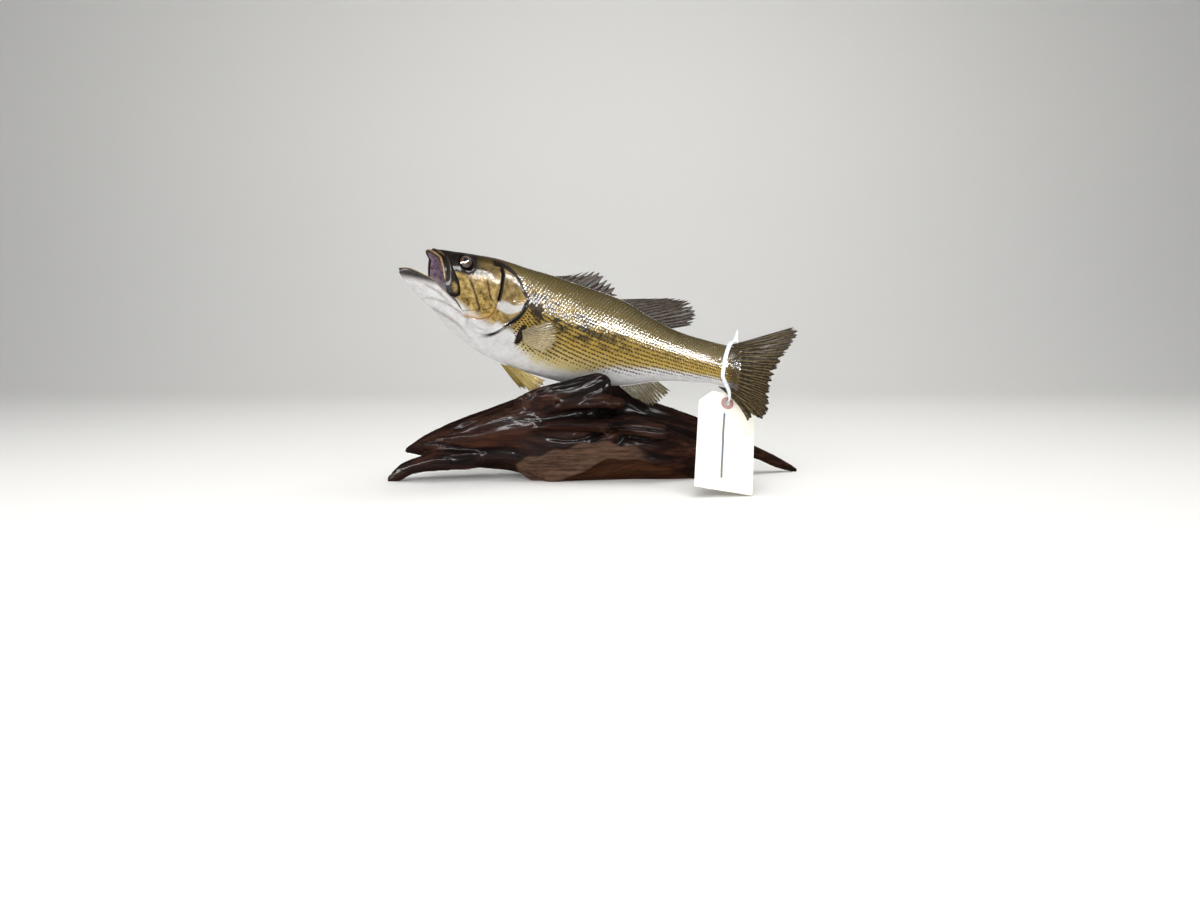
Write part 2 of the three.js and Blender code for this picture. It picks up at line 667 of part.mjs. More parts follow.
function tagLoop() {
  const steps = 22;
  const points = [];
  const index = [];
  for (let i = 0; i < steps; i += 1) {
    for (let j = 0; j < 4; j += 1) points.push(...loopPoint(i / steps, j / 4).toArray());
  }
  for (let i = 0; i < steps; i += 1) {
    for (let j = 0; j < 4; j += 1) {
      const [m, k] = [(i + 1) % steps, (j + 1) % 4];
      index.push(i * 4 + j, m * 4 + j, m * 4 + k, i * 4 + j, m * 4 + k, i * 4 + k);
    }
  }
  return closed(points, index);
}

// ---------------------------------------------------------------- assembly

const group = new THREE.Group();

function add(name, geometry, colour, roughness = 0.35) {
  const material = new THREE.MeshStandardMaterial({ color: colour, roughness, metalness: 0 });
  const mesh = new THREE.Mesh(geometry, material);
  mesh.name = name;
  group.add(mesh);
}

const COLOURS = {
  back: '#5b5129', flank: '#8f7f3a', jaw: '#c9c0b2', cheek: '#8d7434', mouth: '#b08fa0',
  lip: '#6b4c33', eye: '#1a120c', darkFin: '#3d2f25', paleFin: '#b49a4e', wood: '#3a2019',
  card: '#e9e3c8', patch: '#8c4338', loop: '#e3e6e8',
};

// Eyes, as flattened balls that lean with the skin of the head.
function eyeBall(side, grow = 0) {
  const ball = new THREE.SphereGeometry(1, 12, 7);
  const skin = flankAt(EYE.s - 3, EYE.h);
  const centre = place(EYE.s, EYE.h, side * (skin + EYE.proud - EYE.depth));
  const out = place(EYE.s, EYE.h + 7, side * (skin + 16)).sub(
    place(EYE.s + 3, EYE.h, side * skin)).normalize();
  const size = EYE.radius + grow;
  ball.scale(size, size, EYE.depth + grow);
  ball.applyQuaternion(new THREE.Quaternion().setFromUnitVectors(
    new THREE.Vector3(0, 0, 1), out));
  return solid(ball.translate(...centre.toArray()));
}

const eyes = { left: eyeBall(1), right: eyeBall(-1) };
const eyeSockets = eyeBall(1, GAP).add(eyeBall(-1, GAP));

const headRoom = solid(bodyPart(HEAD, GAP));
const trunkRoom = solid(bodyPart(TRUNK, GAP));
const tailRoom = solid(bodyPart(TAIL, GAP));

const jawSlab = slab(13, 8, (u, v) => jawPoint(lerp(JAW_TIP + 0.6, JAW_END - GAP, u), v, false),
  (u, v) => jawPoint(lerp(JAW_TIP + 0.6, JAW_END - GAP, u), v, true));
const head = solid(bodyPart(HEAD)).subtract(eyeSockets);
const headCutters = [headRoom, head, head.translate([0, 0, -GAP])];
const jaw = trimmed(solid(jawSlab), ...headCutters);
const aside = place(0, 0, 1.5 * GAP).sub(place(0, 0, 0)).toArray();
const jawRoom = jaw.add(jaw.translate([0, 0, GAP])).add(jaw.translate(aside))
  .add(jaw.translate(aside.map((v) => -v)));
const tongue = trimmed(solid(tube(7, 8, tonguePoint)), headRoom, jawRoom);
const lip = trimmed(solid(tube(12, 5, lipPoint)), headRoom);

const maxillae = {};
const gillCovers = {};
for (const [name, side] of [['left', 1], ['right', -1]]) {
  maxillae[name] = trimmed(solid(slab(5, 3, (u, v) => maxillaPoint(side, u, v, true),
    (u, v) => maxillaPoint(side, u, v, false))), headRoom, jaw);
  gillCovers[name] = trimmed(solid(slab(3, 20, (r, v) => gillPoint(side, r, v, true),
    (r, v) => gillPoint(side, r, v, false), true)), ...headCutters, trunkRoom, jawRoom);
}

add('head', geometryOf(largest(head)), COLOURS.back);
add('trunk', bodyPart(TRUNK), COLOURS.flank);
add('tail_stalk', bodyPart(TAIL), COLOURS.flank);
add('lower_jaw', geometryOf(jaw), COLOURS.jaw);
add('tongue', geometryOf(tongue), COLOURS.mouth);
add('upper_lip', geometryOf(lip), COLOURS.lip);
for (const name of ['left', 'right']) {
  add(`eye_${name}`, geometryOf(eyes[name]), COLOURS.eye, 0.08);
  add(`maxilla_${name}`, geometryOf(maxillae[name]), COLOURS.lip);
  add(`gill_cover_${name}`, geometryOf(gillCovers[name]), COLOURS.cheek);
}

const fins = {
  fin_dorsal_spiny: fin(spinyDorsal),
  fin_dorsal_soft: fin(softDorsal),
  fin_anal: fin(analFin),
  fin_caudal: fin(tailFin),
};
for (const [name, side] of [['left', 1], ['right', -1]]) {
  fins[`fin_pectoral_${name}`] = fin(pectoral(side));
  fins[`fin_pelvic_${name}`] = fin(pelvic(side));
}
for (const [name, geometry] of Object.entries(fins)) {
  const dark = /dorsal|caudal/.test(name);
  add(name, geometry, dark ? COLOURS.darkFin : COLOURS.paleFin, 0.4);
}

// The driftwood stands on flats cut at one level, and is hollowed where the fish lies on it.
const aboveFloor = solid(new THREE.BoxGeometry(700, 400, 400).translate(0, 0, 200));
const wood = [lowerRoot, apron, knob, upperRidge, middleRidge, splinteredFoot, rearRoot]
  .reduce((sum, shape) => sum.add(limb(shape)), limb(log))
  .intersect(aboveFloor)
  .subtract(trunkRoom)
  .subtract(tailRoom)
  .subtract(solid(fin(pelvic(1, 4 * GAP))));
add('driftwood', geometryOf(largest(wood)), COLOURS.wood, 0.3);

add('tag_loop', tagLoop(), COLOURS.loop, 0.5);
add('tag_card', tagCard(), COLOURS.card, 0.8);
add('tag_patch', tagPatch(), COLOURS.patch, 0.8);

// The origin is set at the middle of the footprint of the whole.
const box = new THREE.Box3().setFromObject(group);
group.position.set(-(box.min.x + box.max.x) / 2, -(box.min.y + box.max.y) / 2, 0);

export default group;
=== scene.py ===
"""A mounted largemouth bass on driftwood: skin, scales, fins, mouth, wood and tag round the frame.

Every point of the fish is worked out from three lengths in millimetres: s along the backbone from
the snout, h above it, and l to its left. place() carries them into the frame. The driftwood and the
tag are worked out straight in the frame's X, Y and Z.
"""

import functools

import bmesh
import bpy
import numpy as np
from mathutils import Matrix, Vector


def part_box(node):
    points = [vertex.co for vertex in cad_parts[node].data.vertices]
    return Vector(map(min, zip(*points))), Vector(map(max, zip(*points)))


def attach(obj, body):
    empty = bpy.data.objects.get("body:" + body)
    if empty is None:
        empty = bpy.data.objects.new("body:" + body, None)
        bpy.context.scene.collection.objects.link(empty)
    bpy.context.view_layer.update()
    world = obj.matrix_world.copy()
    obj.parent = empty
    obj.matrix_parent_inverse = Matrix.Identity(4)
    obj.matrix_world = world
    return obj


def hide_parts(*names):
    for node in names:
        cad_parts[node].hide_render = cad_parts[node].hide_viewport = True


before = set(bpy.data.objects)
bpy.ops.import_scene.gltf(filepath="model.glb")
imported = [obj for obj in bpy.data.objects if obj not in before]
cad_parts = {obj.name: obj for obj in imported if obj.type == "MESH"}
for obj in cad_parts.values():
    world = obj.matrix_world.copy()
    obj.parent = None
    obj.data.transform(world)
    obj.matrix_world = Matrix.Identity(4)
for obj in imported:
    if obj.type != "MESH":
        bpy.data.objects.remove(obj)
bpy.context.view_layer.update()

MM = 0.001
WELD = 0.01  # points of one piece closer than this, in mm, become one
RNG = np.random.default_rng(7)

# Large odd numbers that scatter the noise's lattice points.
LATTICE_FACTORS = (73856093, 19349663, 83492791)
SEED_FACTOR = 2654435761
MIXING_FACTOR = 1274126177

# ---------------------------------------------------------------- small tools


def ease(x):
    """Rises smoothly from 0 to 1: 3t^2 - 2t^3, with t held between 0 and 1."""
    t = np.clip(x, 0, 1)
    return t * t * (3 - 2 * t)


def lerp(a, b, t):
    """From a to b in a straight line."""
    return a + (b - a) * t


def bell(x):
    """A smooth hump of height 1 about 0: exp(-x^2)."""
    return np.exp(-x * x)


def powered(x, p):
    """Sign of x times |x|^p."""
    return np.sign(x) * np.abs(x) ** p


def profile(*knots):
    """A smooth line through (x, y) knots that never overshoots them, level beyond both ends.

    Cubic Hermite pieces, each inner slope the harmonic mean of the steps beside it.
    """
    x, y = np.array(knots, float).T
    step = np.diff(y) / np.diff(x)
    product, total = step[:-1] * step[1:], step[:-1] + step[1:]
    inner = np.where(product > 0, 2 * product / np.where(product > 0, total, 1), 0)
    slope = np.concatenate([step[:1], inner, step[-1:]])

    def line(at):
        at = np.clip(at, x[0], x[-1])
        i = np.clip(np.searchsorted(x, at, side="right") - 1, 0, len(x) - 2)
        w = x[i + 1] - x[i]
        t = (at - x[i]) / w
        rise = w * (slope[i] * t * (1 - t) ** 2 - slope[i + 1] * t * t * (1 - t))
        return lerp(y[i], y[i + 1], ease(t)) + rise

    return line


def wander(p, seed):
    """Smooth noise from -1 to 1 at points p: values hashed on a unit lattice, eased between."""
    cell = np.floor(p).astype(np.int64)
    t = ease(p - cell)
    total = np.zeros(p.shape[:-1])
    for corner in np.ndindex(2, 2, 2):
        at = cell + np.array(corner)
        mixed = seed * SEED_FACTOR
        for axis, factor in enumerate(LATTICE_FACTORS):
            mixed = at[..., axis] * factor ^ mixed
        mixed = (mixed ^ (mixed >> 13)) * MIXING_FACTOR & 0x7FFFFFFF
        value = (mixed ^ (mixed >> 16)) % 65536 / 32767.5 - 1
        weight = np.prod(np.where(np.array(corner) == 1, t, 1 - t), axis=-1)
        total += weight * value
    return total


def layered(p, seed, octaves):
    """Noise with finer and finer detail: each octave twice as fine and half as high."""
    return sum(wander(p * 2.0**k, seed + k) * 0.5**k for k in range(octaves))


# ---------------------------------------------------------------- the backbone

TAIL_ROOT = 404  # s of the tail fin's root
BALANCE_S = 227  # s of the point above the driftwood's saddle
BALANCE_POINT = np.array([0, 6, 170.0])  # where that point is
SPINE_S = np.arange(-60, 501.0)
SPINE_SKIP = 4  # every how many of these places are searched for the nearest one
HEAD_YAW, TAIL_YAW = 30, 44  # degrees that head and tail turn aside
HEAD_PITCH, PITCH_FALL = 15, 6.5  # degrees that the snout is raised, and how many the tail loses


def yaw_at(s):
    """Turn of the backbone about Z: the head eases out of one turn, the tail into the other."""
    return np.radians(HEAD_YAW * (1 - ease((s - 100) / 130)) - TAIL_YAW * ease((s - 208) / 192))


def pitch_at(s):
    """Rise of the snout above level, which falls off with s to the power of 1.5."""
    return np.radians(HEAD_PITCH - PITCH_FALL * np.clip(s / 400, 0, 1.3) ** 1.5)


def spine_points():
    """The backbone's points: steps of 1 mm along its direction, added up and set on the saddle."""
    s = SPINE_S[:-1] + 0.5
    yaw, pitch = yaw_at(s), pitch_at(s)
    step = np.stack([np.cos(pitch) * np.cos(yaw), np.cos(pitch) * np.sin(yaw), -np.sin(pitch)], -1)
    points = np.vstack([np.zeros(3), np.cumsum(step, axis=0)])
    return points - points[int(BALANCE_S - SPINE_S[0])] + BALANCE_POINT


SPINE = spine_points()


def place(s, h, l):
    """Backbone point at s, plus h along the body's upward and l along its leftward direction."""
    s, h, l = np.broadcast_arrays(s, h, l)
    yaw, pitch = yaw_at(s), pitch_at(s)
    base = np.stack([np.interp(s, SPINE_S, SPINE[:, k]) for k in range(3)], -1)
    up = np.stack([np.sin(pitch) * np.cos(yaw), np.sin(pitch) * np.sin(yaw), np.cos(pitch)], -1)
    left = np.stack([np.sin(yaw), -np.cos(yaw), 0 * yaw], -1)
    return base + up * h[..., None] + left * l[..., None]


# ---------------------------------------------------------------- the body's lines

# Heights, half widths, powers and thicknesses by s, and the gill cover's reach and rise by degrees.
back_line = profile((0, 46.8), (12, 51), (29, 53.8), (56, 58), (88, 61), (148, 60.5), (183, 57.5),
                    (238, 51.5), (281, 38), (310, 29.5), (345, 25.5), (404, 24), (414, 27))
belly_line = profile((-27, 13.5), (-12, 2.5), (3, -6.5), (35, -23.5), (47, -31.5), (70, -43),
                     (89, -50), (120, -56), (160, -60.5), (200, -62), (230, -58.5), (268, -49.5),
                     (304, -36.5), (347, -28), (380, -23.5), (404, -24), (414, -27))
half_width = profile((0, 27), (15, 28.5), (35, 29.5), (60, 29.5), (100, 29.5), (135, 31.5),
                     (167, 32), (203, 30.5), (245, 25.5), (286, 18.5), (327, 12.5), (370, 8.5),
                     (396, 6.6), (406, 4.3), (414, 2.0))
widest_line = profile((0, 6), (10, 0), (25, -8), (38, -13), (58, -13), (78, -8), (100, -3),
                      (150, 0), (250, -4), (404, 0))
arch_power = profile((0, 2.35), (40, 2.1), (100, 2), (404, 1.9))
belly_power = profile((0, 1.75), (60, 1.85), (110, 2), (404, 2))
roof_thick = profile((0, 3.2), (10, 8), (30, 14), (55, 20), (82, 30))
wall_thick = profile((0, 2.6), (30, 4), (55, 5), (82, 8))
lateral_line = profile((70, 44), (118, 40), (134, 36), (222, 21), (291, 11), (360, 3), (404, 0))
jaw_rim = profile((-27, 17), (-20, 18.5), (-5, 15.7), (6, 12.5), (17, 6.5), (30, -1), (40, -9),
                  (46, -13.4), (60, -13.4))

JAW_TIP, JAW_WIDTH = -27, 30  # s of the lower jaw's tip, and half its width at its joint
MOUTH_CORNER = 46  # s where the two lips meet
GULLET_END = 82  # s where the mouth's lining closes
FLESH_END = 413  # s where the flesh ends inside the tail fin
SWAY_ABOVE, SWAY_BELOW = -8, 26  # how far the tail fin's upper and lower lobes lean to the left
COAT_DEPTH, COAT_START = 0.7, 100  # room left for the scales, and the s from which it is left

EYE = {"s": 39.6, "h": 43.0, "radius": 8.3, "depth": 6.2, "proud": 3.0}
EYE_FIT = 0.97  # the eyeball's size as a share of its solid's
NOSTRILS = ((22.5, 46.5), (27.5, 48.5))
GILL_S, GILL_H, GILL_SEAM = 84, 12, -68
gill_edge = profile((-68, 29.7), (-43, 28), (-12, 31), (8, 34), (13, 37.2), (34, 34.2), (64, 38.4),
                    (98, 42.9), (127, 40), (167, 35), (210, 38), (239, 45), (248, 44.5),
                    (258, 42), (272, 37), (292, 29.7))
gill_rise = profile((-68, 1.2), (-40, 2.5), (0, 2.9), (60, 2.6), (95, 1.6), (125, 0.2), (150, -0.6),
                    (205, -0.6), (235, 0.0), (262, 0.6), (292, 1.2))


def set_back(s, h, l):
    """How far back the rim of the mouth slopes and rounds, fading out by s = 55."""
    slope = 0.33 * (back_line(s) - h) + 8 * np.minimum(1, (l / 15) ** 2)
    return (1 - ease(s / 55)) * slope


def flank_at(s, h):
    """Half width of the body at height h: a superellipse about the widest line."""
    middle = widest_line(s)
    reach = np.where(h > middle, back_line(s) - middle, middle - belly_line(s))
    power = np.where(h > middle, arch_power(s), belly_power(s))
    part = np.clip(np.abs(h - middle) / reach, 0, 1)
    return half_width(s) * (1 - part**power) ** (1 / power)


def tail_sway(s, h):
    """How far the tail leans over: t^2 along it times a sway that differs above and below."""
    t = np.clip((s - 400) / 64, 0, 1)
    return t * t * lerp(SWAY_ABOVE, SWAY_BELOW, ease((25 - h) / 50))


def coat_depth(s):
    """How far the skin lies inside the body's outline, to leave room for the scales."""
    return COAT_DEPTH * ease((s - COAT_START) / 20)


def upper_section(s, v):
    """Upper half section: h and l as powers of sin and cos of pi v, set back at the mouth."""
    power = 2 / arch_power(s)
    h = lerp(widest_line(s), back_line(s) - coat_depth(s), powered(np.sin(np.pi * v), power))
    l = (half_width(s) - coat_depth(s)) * powered(np.cos(np.pi * v), power)
    return s + set_back(s, h, l), h, l


def jaw_half(s):
    """Half width of the lower jaw: rounded at its tip, meeting the body's width at its joint."""
    opened = np.sin(np.pi / 2 * np.clip((s - JAW_TIP) / 60, 0, 1)) ** 0.6
    return lerp(JAW_WIDTH * opened, half_width(s), ease((s - 20) / 26))


def lower_section(s, v, inside=False):
    """Lower half section from rim to rim round the keel; inside is the mouth's floor."""
    joined = ease((s - 36) / 10)
    wall = np.minimum(wall_thick(s) if inside else 0, 0.4 * jaw_half(s))
    top = lerp(jaw_rim(s) - (0.6 if inside else 0), widest_line(s), joined)
    down = powered(np.sin(np.pi * v), 2 / belly_power(s))
    deep = (top - belly_line(s) - (0 if inside else coat_depth(s))) * (0.55 if inside else 1)
    width = jaw_half(s) - (wall if inside else coat_depth(s))
    h = top - deep * down
    l = width * powered(np.cos(np.pi * v), 2 / belly_power(s))
    return s + set_back(np.maximum(s, 0), h, l) * joined * (1 - down) ** 2, h, l


def palate_section(s, v):
    """Roof of the mouth: the upper section less the thickness of roof and walls."""
    power = 2 / arch_power(s)
    h = lerp(widest_line(s), back_line(s) - roof_thick(s), powered(np.sin(np.pi * v), power))
    l = (half_width(s) - wall_thick(s)) * powered(np.cos(np.pi * v), power)
    return s + set_back(s, h, l), h, l


def narrowed(section, s):
    """Behind the jaw joint the mouth's lining closes in towards one point, the gullet."""
    along, h, l = section
    left = 1 - ease((s - 52) / (GULLET_END - 52)) ** 0.8
    return along, lerp(2.0, h, left), l * left


# ---------------------------------------------------------------- relief of the head

def traced(*knots, samples=70):
    """Evenly many samples along a smooth line through (s, h) knots."""
    knots = np.array(knots, float)
    t = np.arange(len(knots))
    at = np.linspace(0, len(knots) - 1, samples)
    return np.stack([profile(*zip(t, knots[:, k]))(at) for k in (0, 1)], -1)


GROOVE = traced((82, 52), (84.8, 40), (84.6, 28), (83.6, 16), (82.6, 6), (79, -5), (72, -12),
                (62, -15), (51.5, -15.8), (41, -14.5))
# Painted shade: this share of the groove, from its top, is painted black as the shade in it.
GROOVE_SHADE_SHARE = 0.42  # share of the groove, from its top, that is black
CHEEK_EDGE = traced((43, -11), (52, -8), (62.5, -4.5), (73, -1), (80.5, 3), samples=30)
FOLDS = (
    traced((1, -9), (10.5, -5.5), (22.5, -6.8), (37.5, -11.5), (52.5, -18), (65, -24), (82, -25.5)),
    traced((-14, 11), (0, 6.5), (12, 2.5), (20, -1.5), (29, -7)),
    traced((6, -12), (20, -15), (36, -21), (50, -28), (64, -36)),
)


def distance_to(line, s, h):
    """Distance from each (s, h) to a sampled line, the share run along it, and the side it is on.

    The side is 1 to the left of the line's run and -1 to its right.
    """
    best = np.full(np.shape(s), 1e9)
    which = np.zeros(np.shape(s), int)
    for i, (ls, lh) in enumerate(line):
        d = (s - ls) ** 2 + (h - lh) ** 2
        near = d < best
        best = np.where(near, d, best)
        which = np.where(near, i, which)
    run = np.gradient(line, axis=0)[which]
    side = np.sign(run[..., 0] * (h - line[which, 1]) - run[..., 1] * (s - line[which, 0]))
    return np.sqrt(best), which / (len(line) - 1), side


def gill_polar(s, h):
    """Distance from the gill cover's centre as a share of its edge, and the angle in degrees."""
    angle = np.degrees(np.arctan2(h - GILL_H, s - GILL_S))
    angle = np.where(angle < GILL_SEAM, angle + 360, angle)
    return np.hypot(s - GILL_S, h - GILL_H) / gill_edge(angle), angle


def folds(s, h):
    """Depth from 0 to 1 of the creases in jaw and throat: a narrow bell about each traced line."""
    deep = np.zeros(np.shape(s))
    for line in FOLDS:
        d, share, _ = distance_to(line, s, h)
        deep = np.maximum(deep, bell(d / 1.2) * np.sin(np.pi * np.clip(share, 0.03, 0.97)) ** 0.5)
    return deep


def relief(s, h, l):
    """Height of the head's modelling above its plain form, in mm.

    Orbit and brow, nostrils, cheek with its groove, lip of the jaw, crown, throat folds and gill
    slit: each is a bell or an eased step in s and h, and they are added up.
    """
    side = ease((np.abs(l) - 6) / 8)
    return (orbit_relief(s, h, side) + cheek_relief(s, h, side) + nostril_relief(s, h, side)
            + crown_relief(s, h, l) + throat_relief(s, h))


def orbit_relief(s, h, side):
    """A sunk orbit with a low rim, a brow on its upper half and a ridge above it."""
    d = np.hypot(s - EYE["s"], (h - EYE["h"]) * 1.12)
    height = -4.2 * ease((9.4 - d) / 2.2) + 0.25 * bell((d - 10.4) / 2.4)
    height += 1.3 * bell((d - 9.8) / 2.6) * ease((h - EYE["h"]) / 8)
    return height + 0.9 * bell((h - 52.5 - 0.05 * (s - 40)) / 2.2) * bell((s - 42) / 14) * side


def cheek_relief(s, h, side):
    """The cheek: raised before the groove, sunk under the gill cover, with a lower edge."""
    d, share, away = distance_to(GROOVE, s, h)
    behind = ease((d * away + 0.4) / 1.4)
    ends = ease(share / 0.06) * ease((1 - share) / 0.1)
    height = side * ends * (0.8 * bell(d / 8) * (1 - behind) - 1.5 * bell(d / 1.0))
    covered, _ = gill_polar(s, h)
    height -= side * 1.1 * behind * ease((0.99 - covered) / 0.08) * ease((s - 46) / 8)
    d, _, away = distance_to(CHEEK_EDGE, s, h)
    height += side * 0.55 * bell(d / 3.2) * (away > 0) - side * 0.5 * bell(d / 0.6)
    band = ease((h + 16) / 3) * ease((-2 - h + 0.35 * (s - 60)) / 3)
    height += side * 0.18 * band * np.sin(s * 1.9) * bell((s - 62) / 16)
    return height + side * 1.1 * bell((s - 61) / 13) * bell((h - 12) / 17)


def nostril_relief(s, h, side):
    """Two nostrils, each a pit in a low ring."""
    height = 0
    for nostril_s, nostril_h in NOSTRILS:
        d = np.hypot(s - nostril_s, h - nostril_h)
        height = height + side * (0.45 * bell((d - 1.7) / 0.7) - 1.3 * bell(d / 1.0))
    return height


def crown_relief(s, h, l):
    """A shallow channel along the middle of the head's top."""
    return -0.6 * bell(l / 2.5) * ease((h - 40) / 8) * ease((s - 8) / 10) * ease((70 - s) / 15)


def throat_relief(s, h):
    """Creases of jaw and throat, and the slit into which the gill cover's rear edge looks."""
    under = h < np.where(s < MOUTH_CORNER, jaw_rim(s) + 0.5, widest_line(s) + 4)
    share, angle = gill_polar(s, h)
    rear = 0.5 + 0.5 * np.cos(np.radians(angle + 35))
    slit = ease((rear - 0.15) / 0.2)
    slit = slit * 1.6 * ease((share - 0.8) / 0.15) * ease((1.13 - share) / 0.12)
    return -1.2 * under * folds(s, h) - slit


def raised(section):
    """A section's points moved outwards, across the section, by the relief."""
    s, h, l = np.broadcast_arrays(*section)
    dh, dl = np.gradient(h, axis=1), np.gradient(l, axis=1)
    size = np.hypot(dh, dl) + 1e-9
    nh, nl = -dl / size, dh / size
    out = np.sign(nh * (h - 5) + nl * l)
    out[out == 0] = 1
    nh, nl = nh * out, nl * out
    for edge in (0, -1):
        nh[:, edge] = 0
        nl[:, edge] = np.sign(l[:, edge])
    lift = relief(s, h, l)
    return s, h + nh * lift, l + nl * lift


# ---------------------------------------------------------------- markings of skin and scales


dark_line = profile((-10, 20), (15, 22), (30, 26), (46, 28), (60, 30), (72, 33), (80, 38), (86, 46),
                    (94, 53), (112, 60))
dark_share = profile((0, 0.8), (35, 0.9), (50, 0.82), (60, 0.62), (78, 0.52), (88, 0.4),
                     (112, 0.15))
throat_line = profile((-27, 30), (10, 12), (24, 0), (34, -2), (40, -6), (47, -12), (56, -18),
                      (66, -18.5), (78, -15), (88, -9), (98, -12), (112, -15), (128, -24))
white_line = profile((100, -0.6), (130, -0.72), (155, -0.82), (200, -0.78), (260, -0.56),
                     (404, -0.6))
# A pale patch on the gill cover, a painted highlight: its middle line and half height by s.
highlight_patch_line = profile((80, 4), (86, 7), (93, 6), (100, 5.5), (110, 10), (118, 19))
highlight_patch_half = profile((80, 2), (85, 7), (93, 8), (104, 6), (112, 5), (119, 1.5))
# Each bar: its s by height, its lowest and highest h, its width and its strength.
CHEEK_BARS = (
    (profile((-3, 62), (13, 53), (25, 46)), -5, 25, 1.9, 0.82),
    (profile((6, 80), (11, 73.5), (29, 66.5)), 5, 30, 1.6, 0.8),
)


def darkest(*marks):
    """Marks laid over each other: the greatest of them at each point."""
    return functools.reduce(np.maximum, marks)


def top_and_eye_marks(s, h, head):
    """The dark top of the head, the dusk round the eye and the dark snout."""
    d_eye = np.hypot(s - EYE["s"], (h - EYE["h"]) * 1.05)
    return darkest(head * dark_share(s) * ease((h - dark_line(s)) / 6),
                   head * 0.98 * ease((18 - d_eye) / 7),
                   0.8 * ease((26 - s) / 8) * ease((h - 6) / 8))


def cheek_marks(s, h, aside):
    """The cheek's dark bars, painted shade in its groove (black at its top, a thin dark line lower
    down), a dark line along its lower edge, and the amber along that edge.
    """
    bars = 0
    for line, low, high, width, strength in CHEEK_BARS:
        ends = ease((high + 3 - h) / 4) * ease((h - low + 3) / 4)
        bars = np.maximum(bars, strength * bell((s - line(h)) / width) * ends)
    d, share, away = distance_to(GROOVE, s, h)
    # black is painted shade in the groove's upper part; lower is where the groove runs on below,
    # with a thin line of painted shade and the amber beside it.
    black = ease((GROOVE_SHADE_SHARE - share) / 0.05) * ease(share / 0.04) * aside
    lower = ease((share - GROOVE_SHADE_SHARE) / 0.06) * ease((1 - share) / 0.1) * aside
    edge, _, _ = distance_to(CHEEK_EDGE, s, h)
    dark = darkest(bars, black * 0.99 * ease((3.3 - d) / 1.7), black * 0.5 * bell(d / 5.5),
                   lower * 0.55 * bell(d / 0.9), 0.5 * bell(edge / 0.8) * aside)
    return dark, lower * bell((d * away + 1.2) / 2.4)


def gill_marks(s, aside, share, angle):
    """Black along the gill cover's rear edge and top, partly its own dark edge and partly painted
    shade in the slit under it, and a painted shadow of the cover on the breast behind it.
    """
    turned = np.radians(angle)
    rear = ease((np.cos(turned - np.radians(25)) + 0.15) / 0.5)
    top = ease((np.cos(turned - np.radians(95)) - 0.1) / 0.4) * aside * ease((s - 82) / 4)
    shade = ease((np.cos(turned + np.radians(38)) - 0.35) / 0.3)
    return darkest(0.98 * ease((share - 0.86) / 0.05) * ease((1.09 - share) / 0.05) * rear,
                   0.85 * bell((share - 1.0) / 0.05) * top,
                   0.9 * ease((share - 1.0) / 0.02) * ease((1.17 - share) / 0.1) * shade)


def edge_marks(s, h):
    """The black base of the pectoral fin, the dark rim and tip of the jaw, and the tail's base."""
    base = np.hypot((s - 119.5 - 0.15 * (h + 20)) / 5, (h + 19) / 13)
    near_rim = jaw_rim(s) - h
    rim = ease((36 - s) / 8) * (near_rim > -3)
    return darkest(0.97 * ease((1.15 - base) / 0.35), 0.7 * rim * bell(near_rim / 1.7),
                   0.75 * ease((-21 - s) / 4) * ease((6 - near_rim) / 5),
                   0.7 * ease((s - 392) / 14))


def markings(s, h, l, inside=0.0):
    """Masks from 0 to 1 for the fish's colours, worked out from place on the body alone.

    girth runs from -1 at the belly's middle over 0 at the lateral line to 1 at the back's middle.
    dark holds the black and brown marks and painted shade in the cheek's groove, the gill slit,
    behind the gill cover and in the creases of jaw and throat; pale the white of jaw, throat and
    belly and a painted highlight on the gill cover; and amber the orange brown of the cheek plate's
    lower edge.
    """
    s, h, l = np.broadcast_arrays(s, h, l)
    middle = lateral_line(np.maximum(s, 70))
    above = (h - middle) / np.maximum(back_line(s) - middle, 1)
    under = (h - middle) / np.maximum(middle - belly_line(s), 1)
    girth = np.clip(np.where(h > middle, above, under), -1, 1)
    head = ease((118 - s) / 16)
    aside = ease((np.abs(l) - 5) / 4)
    share, angle = gill_polar(s, h)
    cheek, amber = cheek_marks(s, h, aside)
    dark = darkest(top_and_eye_marks(s, h, head), cheek, gill_marks(s, aside, share, angle),
                   edge_marks(s, h))
    throat = ease((throat_line(s) - h) / 7) * ease((126 - s) / 14)
    jaw = ease((40 - s) / 6) * (h < jaw_rim(s) + 1)
    low_belly = ease((white_line(s) - girth) / 0.14)
    # The gill cover's pale patch is a painted highlight.
    patch = ease((highlight_patch_half(s) - np.abs(h - highlight_patch_line(s))) / 3) * ease((s - 79) / 4)
    pale = darkest(throat, jaw, low_belly, 0.8 * patch * ease((120 - s) / 4) * aside)
    bleached = 0.9 * throat * ease((s - 30) / 8) * (share < 0.98)
    dark = np.where(jaw > 0.5, dark, dark * (1 - bleached))
    # Painted shade: the creases of jaw and throat are darkened along their folds.
    crease = folds(s, h) * np.maximum(throat, jaw) * ease((95 - s) / 12)
    dark = np.maximum(dark, 0.42 * crease)
    keep = 1 - inside
    return {"girth": girth, "dark": np.clip(dark, 0, 1) * keep, "pale": pale * keep, "head": head,
            "amber": amber * keep}


# ---------------------------------------------------------------- meshes


def quads_of(index):
    """The four corners of each cell of a grid of point numbers, as rows."""
    corners = [index[:-1, :-1], index[1:, :-1], index[1:, 1:], index[:-1, 1:]]
    return np.stack(corners, -1).reshape(-1, 4)


def stacked(shape, *values):
    """Numbers or arrays side by side, as one grid of vectors."""
    return np.stack([np.broadcast_to(value, shape) for value in values], -1)


